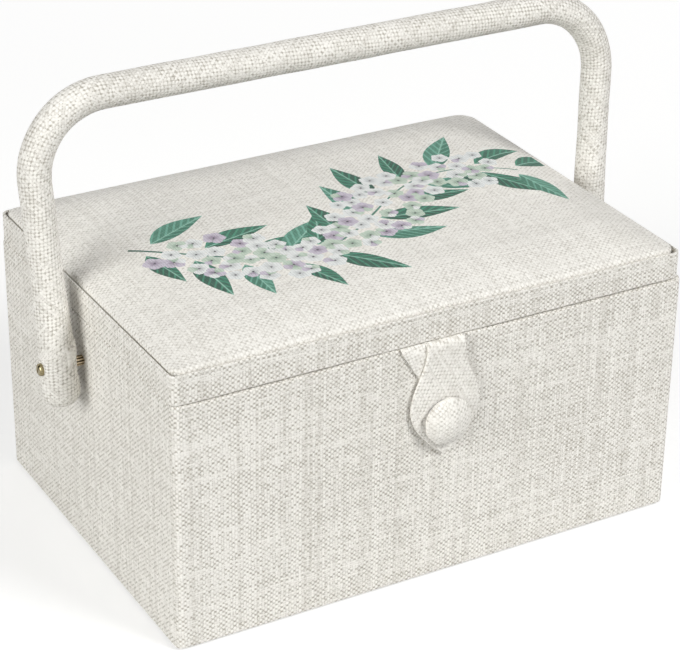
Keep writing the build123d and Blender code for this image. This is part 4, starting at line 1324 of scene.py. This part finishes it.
def cushion_place(layer, a, b):
    """The flat pad: layer 0 lies on the lining, and the sides are drawn in between the corners."""
    pull_a = 1 - 0.035 * (1 - b * b) * abs(a) ** 6
    pull_b = 1 - 0.05 * (1 - a * a) * abs(b) ** 6
    drop = 1.2 + (CUSHION_DEEP - 3.2) * (1 - max(abs(a), abs(b)) ** 4) if layer else 0.0
    return a * CUSHION_SIZE[0] / 2 * pull_a, b * CUSHION_SIZE[1] / 2 * pull_b, -drop


def keep_result(piece):
    """Puts the evaluated mesh in place of the piece's own, with no modifier left."""
    bpy.context.view_layer.update()
    shape = bpy.data.meshes.new_from_object(piece.evaluated_get(bpy.context.evaluated_depsgraph_get()))
    piece.modifiers.clear()
    piece.data = shape


def swell(piece):
    """Remeshes the pad, lets cloth pressure fill it, and keeps the result."""
    remesh = piece.modifiers.new("remesh", "REMESH")
    remesh.mode, remesh.voxel_size = "VOXEL", CUSHION_VOXEL
    keep_result(piece)
    flat = [vertex.co.copy() for vertex in piece.data.vertices]
    held = piece.vertex_groups.new(name="held")
    top = max(place.z for place in flat)
    held.add([i for i, place in enumerate(flat) if place.z > top - CUSHION_HELD], 1.0, "REPLACE")
    cloth = piece.modifiers.new("cloth", "CLOTH")
    for key, value in CUSHION_CLOTH.items():
        setattr(cloth.settings, key, value)
    cloth.settings.effector_weights.gravity = 0.0
    cloth.collision_settings.use_collision = False
    for moment in range(1, CUSHION_FRAMES + 1):
        bpy.context.scene.frame_set(moment)
    keep_result(piece)
    bpy.context.scene.frame_set(1)
    for vertex, before in zip(piece.data.vertices, flat):
        moved = vertex.co - before
        if moved.length > CUSHION_REACH:
            vertex.co = before + moved * (CUSHION_REACH / moved.length)


def pincushion():
    """Rounded pad swollen by pressure against the lining."""
    places, faces = pad_of_grids(28, 19, cushion_place)
    piece = mesh_object("pincushion_pad", places, faces, [], outwards=True)
    swell(piece)
    mesh = piece.data
    deep = min(1.0, (CUSHION_DEEP - CUSHION_MARGIN) * MM / -min(vertex.co.z for vertex in mesh.vertices))
    for vertex in mesh.vertices:
        x, y, z = vertex.co
        vertex.co = Vector((x, y, min(z, 0) * deep)) + Vector(CUSHION_AT) * MM
    mesh.materials.append(CUSHION)
    mesh.polygons.foreach_set("use_smooth", [True] * len(mesh.polygons))
    layer = mesh.uv_layers.new(name="weave")
    for face in mesh.polygons:
        normal = [abs(n) for n in face.normal]
        for loop in face.loop_indices:
            x, y, z = mesh.vertices[mesh.loops[loop].vertex_index].co
            on_edge = (x, z) if normal[1] > normal[0] else (y, z)
            layer.data[loop].uv = (x, y) if normal[2] > 0.5 else on_edge
    smoother = piece.modifiers.new("rounded", "SUBSURF")
    smoother.levels = smoother.render_levels = 1
    return piece


cushion = placed(pincushion(), "lid", ["pincushion"])

# Finishes of the CAD nodes, and the width of their soft edges in millimetres
FINISHES = {
    "brass": (BRASS, 0.12), "magnet_steel": (STEEL, 0.2), "button_metal": (SHEET_METAL, 0.1),
    "board": (BOARD, 0.3), "handle_plastic": (CORE, 0), "clear_plastic": (CLEAR, 0.35),
    "lining_cotton": (LINING, 0.6), "base_paper": (PAPER, 0), "linen": (LINEN, 0), "wadding": (LINING, 0),
    "pincushion_cotton": (CUSHION, 0),
}

slot_of = {row["node"]: row["material_slot"] for row in frame["record"]["subparts"]}
for node, piece in frame["nodes"].items():
    finish, width = FINISHES[slot_of[node]]
    if node == "pivot_screws":
        finish = ANTIQUE
    for place in piece.material_slots:
        place.material = finish
    if not piece.material_slots:
        piece.data.materials.append(finish)
    if width:
        piece.modifiers.new("weld", "WELD").merge_threshold = 0.00001
        bevel = piece.modifiers.new("soft_edges", "BEVEL")
        bevel.width, bevel.segments = width * MM, 2
        bevel.limit_method, bevel.angle_limit = "ANGLE", math.radians(35)
        piece.modifiers.new("even_normals", "WEIGHTED_NORMAL").keep_sharp = True


# Studio: pale floor that keeps the shadow near the box and fades into the white behind
FLOOR_HALF = 7000.0
FLOOR_PAINT, BLACK, PURE_WHITE = (0.64, 0.64, 0.635), (0.0, 0.0, 0.0), (1.0, 1.0, 1.0)
FLOOR_GLOW, FLOOR_NEAR, FLOOR_FAR = 0.48, 0.35, 1.1
WORLD_LIGHT = 0.22
LAMP_AIM = (0, 0, 0.08)


def add_floor():
    material, graph = new_material("studio_floor")
    distance = graph.node("ShaderNodeVectorMath", (graph.object_place(),), "Value", operation="LENGTH")
    far = distance.span(FLOOR_NEAR, FLOOR_FAR)
    level = graph.seen() * (far * (1.0 - FLOOR_GLOW) + FLOOR_GLOW)
    paint = graph.node("ShaderNodeBsdfDiffuse", {"Color": graph.mix(far, FLOOR_PAINT, BLACK)})
    glow = graph.node("ShaderNodeEmission", {"Color": PURE_WHITE, "Strength": level})
    graph.show(graph.node("ShaderNodeAddShader", (paint, glow)))
    corners = [(x * FLOOR_HALF, y * FLOOR_HALF, 0) for x, y in ((-1, -1), (1, -1), (1, 1), (-1, 1))]
    mesh_object("floor", corners, [(0, 1, 2, 3)], [material])


def add_world():
    world = bpy.data.worlds.new("studio")
    bpy.context.scene.world = world
    world.use_nodes = True
    graph = Graph(world.node_tree)
    strength = graph.seen() * (1.0 - WORLD_LIGHT) + WORLD_LIGHT
    graph.show(graph.node("ShaderNodeBackground", {"Color": PURE_WHITE, "Strength": strength}), "World")


def add_lamp(name, place, size, power, colour=PURE_WHITE):
    """Square lamp, in metres and watts, that points at the box."""
    data = bpy.data.lights.new(name, "AREA")
    data.shape, data.size, data.energy, data.color = "SQUARE", size, power, colour
    lamp = linked(name, data)
    lamp.location = place
    lamp.rotation_euler = (Vector(LAMP_AIM) - Vector(place)).to_track_quat("-Z", "Y").to_euler()


add_floor()
add_world()
add_lamp("key", (0.95, -1.75, 1.65), 0.9, 41.0)
add_lamp("fill", (-2.2, -0.75, 0.98), 1.4, 42.0, (1.0, 1.0, 0.985))
add_lamp("back", (1.3, 1.9, 0.45), 1.6, 22.0)
add_camera()
bpy.context.scene.view_settings.view_transform = "Standard"
